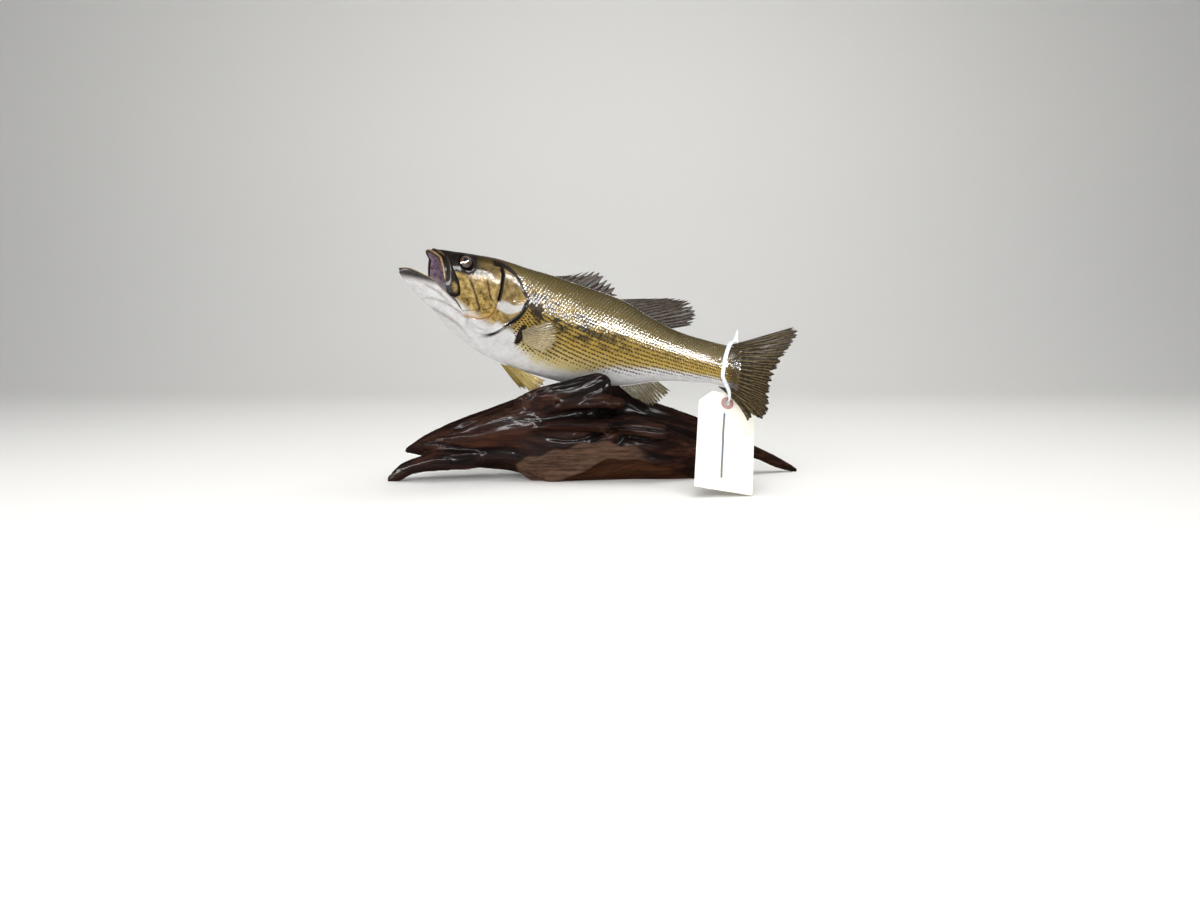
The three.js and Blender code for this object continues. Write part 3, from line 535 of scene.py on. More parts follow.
class Sheets:
    """Gathers grids of points into one mesh, with what each point carries for the materials."""

    def __init__(self):
        self.points, self.faces, self.carried, self.count = [], [], {}, 0

    def grid(self, points, round_rows=False, **carried):
        """Adds a grid of points (rows, columns, 3), in mm, with an array for each name."""
        rows, columns = points.shape[:2]
        index = np.arange(rows * columns).reshape(rows, columns) + self.count
        if round_rows:
            index = np.concatenate([index, index[:, :1]], axis=1)
        self.faces.append(quads_of(index))
        self.points.append(points.reshape(-1, 3))
        self.count += rows * columns
        for name, value in carried.items():
            self.carried.setdefault(name, []).append(value.reshape(-1, 3))

    def body(self, s, h, l, inside=0.0, round_rows=False):
        """Adds a grid given in s, h and l, with its place on the body and its markings."""
        s, h, l = np.broadcast_arrays(s, h, l)
        marks = markings(s, h, l, inside)
        self.grid(place(s, h, l + tail_sway(s, h)), round_rows,
                  body=stacked(s.shape, s, h, l) / 100,
                  marks=stacked(s.shape, marks["girth"], marks["dark"], marks["pale"]),
                  parts=stacked(s.shape, marks["head"], inside, marks["amber"]))

    def tube(self, points, s, h, l, girth=0.0, dark=0.0, inside=0.0, lip=0.0):
        """Adds a closed ring of rows on the head, whose colours are given and not worked out."""
        shape = points.shape[:2]
        self.grid(points, True, body=stacked(shape, s, h, l) / 100,
                  marks=stacked(shape, girth, dark, 0.0), parts=stacked(shape, 1.0, inside, lip))

    def build(self, name):
        """Makes the object: welds equal points, closes up and turns the faces outwards."""
        points = np.concatenate(self.points) * MM + SHIFT
        mesh = mesh_from(name, points, np.concatenate(self.faces))
        for key, blocks in self.carried.items():
            store(mesh, key, np.concatenate(blocks))
        work = bmesh.new()
        work.from_mesh(mesh)
        bmesh.ops.remove_doubles(work, verts=work.verts, dist=WELD * MM)
        bmesh.ops.dissolve_degenerate(work, edges=work.edges, dist=WELD * MM)
        bmesh.ops.recalc_face_normals(work, faces=work.faces)
        work.to_mesh(mesh)
        work.free()
        return shown(name, mesh)


def mesh_from(name, points, quads):
    """A mesh from points in metres and rows of four corners."""
    mesh = bpy.data.meshes.new(name)
    mesh.vertices.add(len(points))
    mesh.vertices.foreach_set("co", points.astype(np.float32).ravel())
    mesh.loops.add(quads.size)
    mesh.loops.foreach_set("vertex_index", quads.astype(np.int32).ravel())
    mesh.polygons.add(len(quads))
    mesh.polygons.foreach_set("loop_start", np.arange(0, quads.size, 4, dtype=np.int32))
    mesh.update(calc_edges=True)
    return mesh


def store(mesh, name, values):
    """Stores three numbers for each point under a name that a material can read."""
    layer = mesh.attributes.new(name, "FLOAT_VECTOR", "POINT")
    layer.data.foreach_set("vector", values.astype(np.float32).ravel())


def linked(name, data):
    """A new object of that name in the scene."""
    made = bpy.data.objects.new(name, data)
    bpy.context.scene.collection.objects.link(made)
    return made


def shown(name, mesh):
    """Puts a mesh in the scene, smooth-shaded, riding on the one body."""
    mesh.polygons.foreach_set("use_smooth", np.ones(len(mesh.polygons), bool))
    piece = linked(name, mesh)
    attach(piece, "root")
    return piece


def stood_for(piece, slot, *nodes):
    """Hides the solids that a piece stands for, and returns the piece. Its slot is not used."""
    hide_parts(*nodes)
    return piece


def eye_centre(side):
    """The middle of an eyeball: EYE's place on the skin, sunk by its depth less what stands out."""
    out = side * (flank_at(EYE["s"] - 3, EYE["h"]) + EYE["proud"] - EYE["depth"])
    return place(np.float64(EYE["s"]), np.float64(EYE["h"]), out)


def frame_shift():
    """From the lines above to the frame: where the left eye is, less where it is on them."""
    low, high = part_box("eye_left")
    return np.array((low + high) / 2) - eye_centre(1) * MM


SHIFT = frame_shift()

# ---------------------------------------------------------------- skin

UPPER_COLUMNS, LOWER_COLUMNS = 150, 120  # points across each half section
BEAD_SIDES = 14


def around(columns):
    """Shares of a half section, closer at its steep sides: t - 0.4 sin(2 pi t) / (2 pi)."""
    t = np.linspace(0, 1, columns)
    return (t - 0.4 * np.sin(2 * np.pi * t) / (2 * np.pi))[None, :]


def strip(sheets, outer, inner):
    """Closes the gap from an outer edge to an inner one in three straight steps."""
    t = np.linspace(0, 1, 4)[None, :, None]
    a, b = (np.stack(edge, -1)[:, None, :] for edge in (outer, inner))
    s, h, l = np.moveaxis(lerp(a, b, t), -1, 0)
    sheets.body(s, h, l, t[..., 0])


def line_of(section, where):
    """One row or column of a section's grid, as s, h and l."""
    return [x[where] for x in np.broadcast_arrays(*section)]


def add_body(sheets):
    """The fish's outer skin, the mouth's lining and the rims that join them."""
    mouth = np.linspace(0, MOUTH_CORNER, 54)
    cheek = np.linspace(MOUTH_CORNER, GULLET_END, 42)[1:]
    cover = np.linspace(GULLET_END, 126, 46)[1:]
    trunk = np.linspace(126, FLESH_END, 96)[1:]
    jaw = np.linspace(JAW_TIP + 0.5, 0, 28)[:-1]
    rows_up = np.concatenate([mouth, cheek, cover, trunk])[:, None]
    rows_low = np.concatenate([jaw, rows_up[:, 0]])[:, None]
    rows_in = np.concatenate([mouth, cheek])[:, None]
    rows_floor = np.concatenate([jaw, rows_in[:, 0]])[:, None]
    v, w = around(UPPER_COLUMNS), around(LOWER_COLUMNS)
    upper = raised(upper_section(rows_up, v))
    lower = raised(lower_section(rows_low, w))
    palate = narrowed(palate_section(rows_in, v), rows_in)
    floor = narrowed(lower_section(rows_floor, w, inside=True), rows_floor)
    sheets.body(*upper)
    sheets.body(*lower)
    sheets.body(*palate, inside=1.0)
    sheets.body(*floor, inside=1.0)
    rims = (upper, palate, len(mouth)), (lower, floor, len(jaw) + len(mouth))
    for column in (0, -1):
        for outside, lining, rim in rims:
            where = np.s_[:rim, column]
            strip(sheets, line_of(outside, where), line_of(lining, where))
    for outside, lining, _ in rims:
        strip(sheets, line_of(outside, 0), line_of(lining, 0))
    close = np.array([1, 0.98, 0.8, 0.4, 0])[:, None]
    for section in (upper, lower):
        s, h, l = (x[None, :] for x in line_of(section, -1))
        sheets.body(s + 1.5 * (1 - close**3), h * lerp(close, 1, 0.1), l * close)


def add_gill_cover(sheets, side):
    """The gill cover: rings about its centre, lifted towards its rear edge, over a thin underside.

    Before the groove it lies 1.5 mm under the cheek. Behind the groove it stands 0.55 mm above the
    skin plus gill_rise, with a faint crease and a low roll near the rear edge, which turns in.
    """
    ring = np.concatenate([np.linspace(0, 0.84, 40), np.linspace(0.86, 1, 14)])
    angle = np.linspace(GILL_SEAM, GILL_SEAM + 360, 241)[None, :-1]
    flap = np.array([1.006, 0.998, 0.97, 0.9, 0.75, 0.4, 0])
    share = np.concatenate([ring, flap])[:, None]
    outside = np.arange(len(share))[:, None] < len(ring)
    reach = gill_edge(angle) * share
    turned = np.radians(angle)
    s = GILL_S + reach * np.cos(turned)
    h = GILL_H + reach * np.sin(turned)
    rear = ease((0.5 + 0.5 * np.cos(turned + np.radians(28)) - 0.08) / 0.4)
    d, _, away = distance_to(GROOVE, s, h)
    seen = ease((d * away + 0.2) / 1.6) * ease((s - 47) / 18)
    wave = 0.06 * np.sin(turned * 9) * rear
    rise = (gill_rise(angle) + wave) * ease((share - 0.3) / 0.7)
    crease = 0.07 * bell((np.sin(turned + 0.5) * share) / 0.08) * ease((share - 0.3) / 0.3)
    rolled = 0.5 * bell((share - 0.95) / 0.035) * rear
    top = lerp(-1.5, 0.55 + rise - crease + rolled, seen)
    top = top - 1.0 * rear * ease((share - 0.965) / 0.035) ** 2
    under = np.zeros((len(share), 1))
    under[len(ring):, 0] = [0.5, 0.2, 0, -0.6, -1.6, -2.4, -2.6]
    lift = np.where(outside, top, np.minimum(gill_rise(angle) - 1.6 + under, top - 0.3))
    step = 0.25
    slope = (flank_at(s, h + step) - flank_at(s, h - step)) / (2 * step)
    size = np.hypot(slope, 1)
    sheets.body(s, h - lift * slope / size, side * (flank_at(s, h) + lift / size), round_rows=True)


def add_maxilla(sheets, side):
    """The maxilla: a paddle from snout to the mouth's corner, with a ridge and rounded edges."""
    u = np.linspace(0, 1, 44)[:, None]
    turn = np.linspace(0, 2 * np.pi, 41)[None, :-1]
    line_s = profile((0, 15.5), (0.5, 23), (1, 30.5))(u)
    line_l = profile((0, 17.5), (0.5, 26), (1, 29.6))(u)
    line_h = profile((0, 46), (0.5, 24.5), (1, 1))(u)
    half = profile((0, 2.2), (0.35, 4), (0.75, 8.3), (0.92, 8.0), (1, 4.0))(u)
    ends = np.clip(np.minimum(u / 0.04, (1 - u) / 0.05), 0, 1) ** 0.5
    share, up = np.cos(turn), np.sin(turn)
    across = half * powered(share, 0.8) * ends
    ridge = 0.5 + 1.5 * (1 - share**2) + 0.45 * bell((share + 0.25) / 0.22)
    bulge = np.where(up > 0, ridge, -2.0) * powered(np.abs(up), 0.5) * ends
    s = line_s + 0.95 * across
    h = line_h + 0.2 * across
    l = side * (line_l + bulge + 0.06 * across)
    tan = bell((share - 0.15) / 0.42) * bell((u - 0.78) / 0.13) * (up > 0.2)
    sheets.tube(place(s, h, l), s, h, l, girth=0.1, dark=1.0 - 0.78 * tan)


def tube(path, radius, up, squash):
    """A tube round a path (n, 3): rings across its run, wider along up by 1 / squash, ends closed.

    radius is a number for each point of the path, and up a direction for each, made square to it.
    """
    run = np.gradient(path, axis=0)
    run /= np.linalg.norm(run, axis=1, keepdims=True)
    up = up - run * (up * run).sum(1, keepdims=True)
    up /= np.linalg.norm(up, axis=1, keepdims=True)
    out = np.cross(run, up)
    turn = np.linspace(0, 2 * np.pi, BEAD_SIDES + 1)[:-1]
    radius = radius[:, None, None]
    ring = radius * (up[:, None] * np.cos(turn)[None, :, None]
                     + squash * out[:, None] * np.sin(turn)[None, :, None])
    middle = path[:, None] + 0 * ring[:, :1]
    first, last = (np.repeat(middle[[k]], BEAD_SIDES, 1) for k in (0, -1))
    return np.concatenate([first, path[:, None] + ring, last])


def add_bead(sheets, line, radius, tone, squash=1.0):
    """A bead along a line given as s, h and l: dark along one side, tan along the other."""
    s, h, l = line
    middle = place(s + 6, np.full_like(h, np.mean(h)), 0 * l)
    path = place(s, h, l)
    points = tube(path, radius, path - middle, squash)
    turn = np.linspace(0, 2 * np.pi, BEAD_SIDES + 1)[:-1]
    s, h, l = (np.concatenate([x[:1], x, x[-1:]])[:, None] for x in line)
    sheets.tube(points, s, h, l, dark=np.clip(tone + 0.3 * np.cos(turn + 2.2), 0, 1), lip=2.0)


def add_lips(sheets):
    """Two beads along the upper lip, one at its rim and one behind, and one along the lower jaw."""
    u = np.linspace(0, 1, 110)
    v = lerp(0.055, 0.945, u)[None, :]
    zero = np.zeros((1, 1))
    outer, inner = (np.stack(part(zero, v), -1)[0] for part in (upper_section, palate_section))
    swell = 0.3 + 0.7 * np.sin(np.pi * u) ** 0.35
    rim = lerp(outer, inner, 0.45)
    add_bead(sheets, (rim[:, 0] - 0.6, rim[:, 1], rim[:, 2]), 1.9 * swell, 0.6)
    behind = np.stack(upper_section(zero + 5.2, lerp(0.075, 0.925, u)[None, :]), -1)[0]
    add_bead(sheets, behind.T, 1.3 * swell, 0.8)
    s = np.linspace(-25.4, 37, 90)[:, None]
    outer = np.stack(lower_section(s, zero), -1)[:, 0]
    inner = np.stack(lower_section(s, zero, inside=True), -1)[:, 0]
    half = lerp(outer, inner, 0.42) + [0, 0.5, 0]
    other = half * [1, 1, -1]
    s, h, l = np.concatenate([half[::-1], other]).T
    slim = np.concatenate([np.linspace(0.45, 1, 90), np.linspace(1, 0.45, 90)])
    add_bead(sheets, (s, h, l), 1.5 * slim**0.6, 0.62, squash=0.75)


def add_tongue(sheets):
    """The tongue: a flat rounded tube that rises a little from the mouth's floor."""
    u = np.linspace(0, 1, 40)[:, None]
    turn = np.linspace(0, 2 * np.pi, 33)[None, :-1]
    s = lerp(-2.0, 50.0, u)
    rounding = np.sin(np.pi * np.clip(0.02 + 0.96 * u, 0, 0.62)) ** 0.6
    floor = lerp(5.0, -13.0, u)
    groove = 0.8 * bell(np.cos(turn) / 0.25) * (np.sin(turn) > 0)
    h = floor + (3 * np.sin(turn) - groove) * rounding
    l = 11 * rounding * np.cos(turn)
    sheets.tube(place(s, h, l), s, h, l, inside=1.0)


def add_gill_arches(sheets):
    """Arched bars on both walls of the throat: thin tubes along arcs, one behind another."""
    turn = np.linspace(0, 2 * np.pi, 11)[None, :-1]
    u = np.linspace(0, 1, 30)[:, None]
    angle = lerp(-1.15, 1.2, u)
    thin = 1.5 * np.sin(np.pi * np.clip(u, 0.02, 0.98)) ** 0.4
    for side in (-1, 1):
        for k in range(4):
            reach = 19 - 2.6 * k
            s = 50 + 6.0 * k - 5 * np.cos(angle * 1.2) + thin * np.cos(turn)
            h = 4 + (reach + thin * np.sin(turn)) * np.sin(angle)
            l = side * (reach * 0.82 + thin * np.sin(turn)) * np.cos(angle)
            sheets.tube(place(s, h, l), s, h, l, inside=1.0)


def make_skin():
    """The fish's flesh: its body, gill covers, lips with maxillae, and tongue with gill arches."""
    body, covers, lips, throat = (Sheets() for _ in range(4))
    add_body(body)
    for side in (1, -1):
        add_gill_cover(covers, side)
        add_maxilla(lips, side)
    add_lips(lips)
    add_tongue(throat)
    add_gill_arches(throat)
    return (stood_for(body.build("fish_skin"), "skin", "head", "trunk", "tail_stalk", "lower_jaw"),
            stood_for(covers.build("gill_plates"), "skin", "gill_cover_left", "gill_cover_right"),
            stood_for(lips.build("lip_plates"), "skin", "upper_lip", "maxilla_left",
                      "maxilla_right"),
            stood_for(throat.build("throat_parts"), "mouth", "tongue"))


# ---------------------------------------------------------------- scales

SCALE_LENGTH, SCALE_THICK = 8.2, 0.22
SCALE_STEP, SCALE_ROW = 4.2, 5.0  # distances between roots, along a row and between rows
BACK_ROW = 0.78  # how much closer the rows are above the lateral line
BAKE_PATCH = 0.003  # side of each scale's patch on its own map
SCALE_POINTS = 25  # points on a scale's top, numbered in 5 rows; SCALE_BORDER runs round them
SCALE_BORDER = np.array([0, 1, 2, 3, 4, 9, 14, 19, 24, 23, 22, 21, 20, 15, 10, 5])


def girth_table():
    """Height and width of the flank by s and by arc length up from the lateral line.

    Each section is walked from below the belly's middle to past the back's, its arc length added
    up and set to 0 where it crosses the lateral line.
    """
    s = np.arange(60, 440, 2.0)
    arc = np.arange(-120, 90, 1.0)
    turn = np.linspace(-np.pi / 2 - 0.3, np.pi / 2 + 0.3, 400)
    heights, widths, ends = [], [], []
    for at in s:
        at = min(at, FLESH_END)
        _, hu, lu = upper_section(np.float64(at), np.abs(turn) / np.pi)
        _, hl, ll = lower_section(np.float64(at), np.abs(turn) / np.pi)
        h, l = np.where(turn >= 0, hu, hl), np.where(turn >= 0, lu, ll)
        walked = np.concatenate([[0], np.cumsum(np.hypot(np.diff(h), np.diff(l)))])
        inner = np.abs(turn) <= np.pi / 2
        walked = walked - np.interp(lateral_line(at), h[inner], walked[inner])
        heights.append(np.interp(arc, walked, h))
        widths.append(np.interp(arc, walked, l))
        ends.append((walked[inner][0], walked[inner][-1]))
    return s, arc, np.array(heights), np.array(widths), np.array(ends)


def looked_up(table, s_grid, arc_grid, s, arc):
    """Bilinear look-up of a table on regular s and arc steps."""
    i = np.clip((s - s_grid[0]) / (s_grid[1] - s_grid[0]), 0, len(s_grid) - 1.001)
    j = np.clip((arc - arc_grid[0]) / (arc_grid[1] - arc_grid[0]), 0, len(arc_grid) - 1.001)
    i0, j0 = i.astype(int), j.astype(int)
    low = lerp(table[i0, j0], table[i0, j0 + 1], j - j0)
    high = lerp(table[i0 + 1, j0], table[i0 + 1, j0 + 1], j - j0)
    return lerp(low, high, i - i0)


def scale_roots(ends, s_grid):
    """Where scales are rooted: staggered rows at equal arcs from the lateral line.

    Steps and rows draw together towards nape and tail, and rows are closer above the lateral line.
    The rows end at the middle of back and belly.
    """
    taper = profile((70, 0.5), (100, 0.72), (140, 1), (240, 1), (330, 0.82), (404, 0.62),
                    (425, 0.5))
    places = [70.0]
    while places[-1] < 418:
        places.append(places[-1] + SCALE_STEP * float(taper(places[-1])))
    k, i = np.meshgrid(np.arange(-27, 30), np.arange(len(places) - 1), indexing="ij")
    s = np.interp(i + 0.5 * (k % 2), np.arange(len(places)), places)
    size = taper(s)
    s = s + 0.3 * RNG.standard_normal(s.shape)
    row = SCALE_ROW * size * np.where(k > 0, BACK_ROW, 1.0)
    arc = k * row + 0.25 * RNG.standard_normal(s.shape)
    low = np.interp(s, s_grid, ends[:, 0])
    high = np.interp(s, s_grid, ends[:, 1])
    keep = (arc > low - 1) & (arc < high + 1)
    return s[keep], arc[keep], size[keep], row[keep]


def scale_shape():
    """One scale as a grid 5 by 5: x from root to tip, y across it, and its share of the width."""
    x = np.array([0.0, 0.4, 0.7, 0.88, 1.0])[:, None]
    y = np.array([-1, -0.55, 0, 0.55, 1.0])[None, :]
    wide = np.where(x < 0.5, 0.85 + 0.3 * x, np.sqrt(np.clip(1 - ((x - 0.5) / 0.56) ** 2, 0, 1)))
    x = x - 0.1 * (y**2) * x
    return np.broadcast_arrays(x, y * wide, y)


def scale_faces(side):
    """Corners of one scale's faces: its top, the walls round its border and the lid below."""
    top = quads_of(np.arange(SCALE_POINTS).reshape(5, 5))
    ring = np.arange(len(SCALE_BORDER))
    after = (ring + 1) % len(SCALE_BORDER)
    walls = np.stack([SCALE_BORDER[ring], SCALE_BORDER[after], SCALE_POINTS + after,
                      SCALE_POINTS + ring], -1)
    left = np.arange(7)
    right = 15 - left
    lids = SCALE_POINTS + np.stack([left, right, right - 1, left + 1], -1)
    if side < 0:
        top, walls, lids = top[:, ::-1], walls[:, ::-1], lids[:, ::-1]
    return np.concatenate([top, walls, lids])


def scaled_places(root_h, tip_s):
    """True where scales grow: behind head and gill cover, off the breast, up to the tail fin."""
    share, _ = gill_polar(tip_s, root_h)
    nape = 76 + 32 * ease((46 - root_h) / 14)
    tail_end = 401 + 12 * (1 - (root_h / 27) ** 2)
    breast = (root_h < -20) & (tip_s < 112)
    return ((share > 1.0) | (tip_s > 118)) & (tip_s > nape) & (tip_s < tail_end) & ~breast


def make_scales(side, table):
    """All scales of one flank, each a thin closed shield on the skin that lifts at its tip.

    A point x along and y across a scale is looked up on the body at the root's s plus its length
    times x, and the root's arc plus its half width times y, then raised by a slope along x less a
    crown across y.
    """
    s_grid, arc_grid, heights, widths, ends = table
    root_s, root_arc, size, row = scale_roots(ends, s_grid)
    x, y, across = (a.ravel() for a in scale_shape())
    luck = RNG.random((len(root_s), 3))
    length = SCALE_LENGTH * size
    half = row * 1.06
    s = root_s[:, None] + length[:, None] * x
    arc = root_arc[:, None] + half[:, None] * y
    h, l, h_above, l_above = (looked_up(lines, s_grid, arc_grid, s, arc + step)
                              for step in (0, 1) for lines in (heights, widths))
    run = np.hypot(h_above - h, l_above - l) + 1e-9
    nh, nl = -(l_above - l) / run, (h_above - h) / run
    root_h = looked_up(heights, s_grid, arc_grid, root_s, root_arc)
    tilt = (luck[:, :1] - 0.5) * 0.3
    roll = (luck[:, 1:2] - 0.5) * 0.3
    flatter = 1 - 0.6 * ease((-16 - root_h) / 26)
    lift = -0.35 + (1.0 + tilt) * x * (size * flatter)[:, None] - 0.3 * across**2 + roll * y
    keep = scaled_places(root_h, root_s + 0.6 * length)

    def closed(top, below):
        return np.concatenate([top, below[:, SCALE_BORDER]], 1)[keep]

    s_all = closed(s, s)
    h_all = closed(h + nh * lift, h + nh * (lift - SCALE_THICK))
    l_all = closed(l + nl * lift, l + nl * (lift - SCALE_THICK))
    points = place(s_all, h_all, side * l_all + tail_sway(s_all, h_all))
    shape = s_all.shape
    starts = np.arange(shape[0])[:, None, None] * shape[1]
    faces = (scale_faces(side)[None] + starts).reshape(-1, 4)
    name = "scales_left" if side > 0 else "scales_right"
    mesh = mesh_from(name, points.reshape(-1, 3) * MM + SHIFT, faces)
    marks = markings(s_all, h_all, l_all)
    local_x, local_y = (np.append(a, a[SCALE_BORDER]) for a in (x, y))
    store(mesh, "body", stacked(shape, s_all, h_all, side * l_all) / 100)
    store(mesh, "marks", stacked(shape, marks["girth"], marks["dark"], marks["pale"]))
    store(mesh, "shield", stacked(shape, local_x, local_y, luck[keep][:, 2:3]))
    root_u = (root_s[keep][:, None] - 40) / 400
    root_v = 0.25 * side + 0.5 + root_arc[keep][:, None] / 500
    u = root_u + (local_x - 0.5) * BAKE_PATCH
    v = root_v + local_y * BAKE_PATCH / 2
    layer = mesh.uv_layers.new(name="OFBake")
    uv = stacked(shape, u, v).reshape(-1, 2)[faces.ravel()]
    layer.data.foreach_set("uv", uv.astype(np.float32).ravel())
    piece = shown(name, mesh)
    return piece


# ---------------------------------------------------------------- fins


PLAIN_FIN = {"fork": True, "fine": 10, "fray": 0.03, "split": 0.0, "ripple": 0.5,
             "sway": lambda u, t: 0 * u}
WEB_THICK = 0.22  # least half thickness of a web


def fin_piece(name, node, spec):
    """A fin: two sheets of rays and webs between a root line and an edge line.

    u runs from the first ray to the last and v from root to edge. Rays swell the sheet by a power
    of |cos(pi rays u)|, and fork in the outer half of a soft fin. The web's edge dips between rays
    and is torn back by a different amount in each.
    """
    spec = {**PLAIN_FIN, **spec}
    rays, fork = spec["rays"], spec["fork"]
    columns = rays * spec["fine"] + 1
    u = np.linspace(0, 1, columns)[:, None]
    v = np.linspace(0, 1, 30)[None, :]
    web = 0.5 - 0.5 * np.cos(2 * np.pi * rays * u)
    tear = np.repeat(RNG.random(rays), spec["fine"])
    tear = np.append(tear, tear[-1])[:, None]
    nick = RNG.random(columns)[:, None] - 0.5
    dip = 1 - spec["notch"] * web * lerp(0.5, 1.7, tear**1.5) - spec["fray"] * nick * web
    within = np.abs((rays * u) % 1 - 0.5)
    dip = dip - spec["split"] * tear**3 * np.clip(1 - within / 0.2, 0, 1)
    if fork:
        dip = dip - 0.035 * (0.5 - 0.5 * np.cos(4 * np.pi * rays * u)) * 1.5 * tear
    t = v * np.clip(dip, 0.25, 1.02)
    ray = np.abs(np.cos(np.pi * rays * u)) ** 3
    branch = np.abs(np.cos(2 * np.pi * rays * u + np.pi / 4)) ** 3
    out = ease((v - 0.35) / 0.3) if fork else 0 * v
    rib = lerp(ray, np.maximum(branch, 0.35 * ray), out)
    ends = 0.35 + 0.65 * np.sin(np.pi * np.clip(u, 0.02, 0.98)) ** 0.3
    half = lerp(spec["thick"], 0.3, v**0.7) * ends * lerp(0.4, 1.0, rib)
    half = np.maximum(half, WEB_THICK * lerp(0.8, 1.3, rib))
    ripple = np.sin(2 * np.pi * rays * u) * ease(v * 2) + 1.5 * np.sin(9 * u + 4 * v) * v
    root, edge = (np.stack(np.broadcast_arrays(*spec[part](u)), 0) for part in ("root", "edge"))
    s, h, l = (lerp(root[k], edge[k], t) for k in range(3))
    l = l + spec["sway"](u, t) + spec["ripple"] * ripple
    carried = {"body": stacked(l.shape, s, h, l) / 100, "ray": stacked(l.shape, u * rays, t, rib)}
    sheets = Sheets()
    sides = [place(s, h, l + k * half) for k in (1, -1)]
    for points in sides:
        sheets.grid(points, **carried)
    for cut in (np.s_[:1], np.s_[-1:]):
        rows = np.concatenate([sides[0][cut], sides[1][cut]])
        sheets.grid(rows, **{n: np.repeat(c[cut], 2, 0) for n, c in carried.items()})
        rows = np.concatenate([sides[0][:, cut], sides[1][:, cut]], 1)
        sheets.grid(rows, **{n: np.repeat(c[:, cut], 2, 1) for n, c in carried.items()})
    return stood_for(sheets.build(name), "fin", node)


def line(a, b):
    """A straight run between two points, each (s, h, l), as a function of u."""
    return lambda u: [lerp(a[k], b[k], u) for k in range(3)]


def on_line(s0, s1, height):
    """A root along the back or the belly, from s0 to s1."""
    return lambda u: [lerp(s0, s1, u), height(lerp(s0, s1, u)), 0 * u]


def curve(s, h, l):
    """A curve whose s, h and l are each a function of u."""
    return lambda u: [s(u), h(u), l(u)]


def pectoral(side):
    """Pectoral fin: rooted on the flank behind the gill cover, fanned back and out."""
    def root(u):
        s, h = lerp(119.0, 126.5, u), lerp(-14.5, -28.0, u)
        return [s, h, side * (flank_at(s, h) + 0.9)]

    return {
        "rays": 13, "notch": 0.08, "thick": 1.5, "ripple": 0.4, "fray": 0.1, "split": 0.12,
        "root": root,
        "edge": curve(profile((0, 150), (0.3, 164), (0.6, 169), (1, 156)),
                      profile((0, 5), (0.3, -2), (0.6, -14), (1, -33)),
                      lambda u: side * (45 - 4 * u)),
    }


def pelvic(side):
    """Pelvic fin: rooted on the breast, pointing down and back."""
    return {
        "rays": 6, "notch": 0.08, "thick": 1.2, "ripple": 0.35, "fray": 0.05,
        "root": line((117.0, -55.5, side * 8.0), (131.0, -57.0, side * 8.5)),
        "edge": curve(profile((0, 152), (0.5, 166), (1, 170)),
                      profile((0, -80.5), (0.5, -77.5), (1, -63)), lambda u: side * (21 - 2 * u)),
    }


FINS = {
    "fin_dorsal_spiny": {
        "rays": 10, "notch": 0.36, "thick": 1.2, "fork": False, "fray": 0.1, "ripple": 0.4,
        "root": on_line(157.0, 230.0, back_line),
        "edge": curve(profile((0, 172), (0.25, 193), (0.6, 215), (1, 237)),
                      profile((0, 64), (0.25, 74), (0.45, 77), (0.7, 70), (0.9, 63), (1, 54)),
                      lambda u: 2.5 * np.sin(4 * np.pi * u)),
    },
    "fin_dorsal_soft": {
        "rays": 13, "notch": 0.09, "thick": 1.3, "fray": 0.2, "split": 0.22, "fine": 12,
        "root": on_line(241.0, 311.0, back_line),
        "edge": curve(profile((0, 272), (0.2, 306), (0.45, 328), (0.8, 341), (1, 336)),
                      profile((0, 58), (0.2, 64.5), (0.45, 65.5), (0.8, 49), (1, 38)),
                      lambda u: 5 * np.sin(np.pi * u)),
    },
    "fin_anal": {
        "rays": 12, "notch": 0.09, "thick": 1.2, "fray": 0.2, "split": 0.2, "fine": 12,
        "root": on_line(262.0, 306.0, belly_line),
        "edge": curve(profile((0, 280), (0.3, 303), (0.7, 315), (1, 324)),
                      profile((0, -62), (0.3, -67), (0.7, -57), (1, -44)),
                      lambda u: 3 * np.sin(np.pi * u)),
    },
    "fin_caudal": {
        "rays": 17, "notch": 0.05, "thick": 2.6, "fray": 0.1, "ripple": 0.35, "split": 0.2,
        "fine": 14,
        "root": curve(profile((0, 392), (0.06, 401), (0.9, 401), (1, 386)),
                      profile((0, 24.3), (0.06, 23.6), (0.9, -23.6), (1, -24.6)), lambda u: 0 * u),
        "edge": curve(profile((0, 468), (0.08, 475), (0.25, 468), (0.4, 463), (0.55, 462),
                              (0.7, 466), (0.82, 470), (0.94, 466), (1, 448)),
                      profile((0, 56), (0.08, 51), (0.25, 31), (0.4, 12), (0.55, -5), (0.7, -20),
                              (0.82, -32), (0.94, -43), (1, -49)), lambda u: 0 * u),
        "sway": lambda u, t: t * t * lerp(SWAY_ABOVE, SWAY_BELOW, ease(u)),
    },
    "fin_pectoral_left": pectoral(1),
    "fin_pectoral_right": pectoral(-1),
    "fin_pelvic_left": pelvic(1),
    "fin_pelvic_right": pelvic(-1),
}


# ---------------------------------------------------------------- eyes


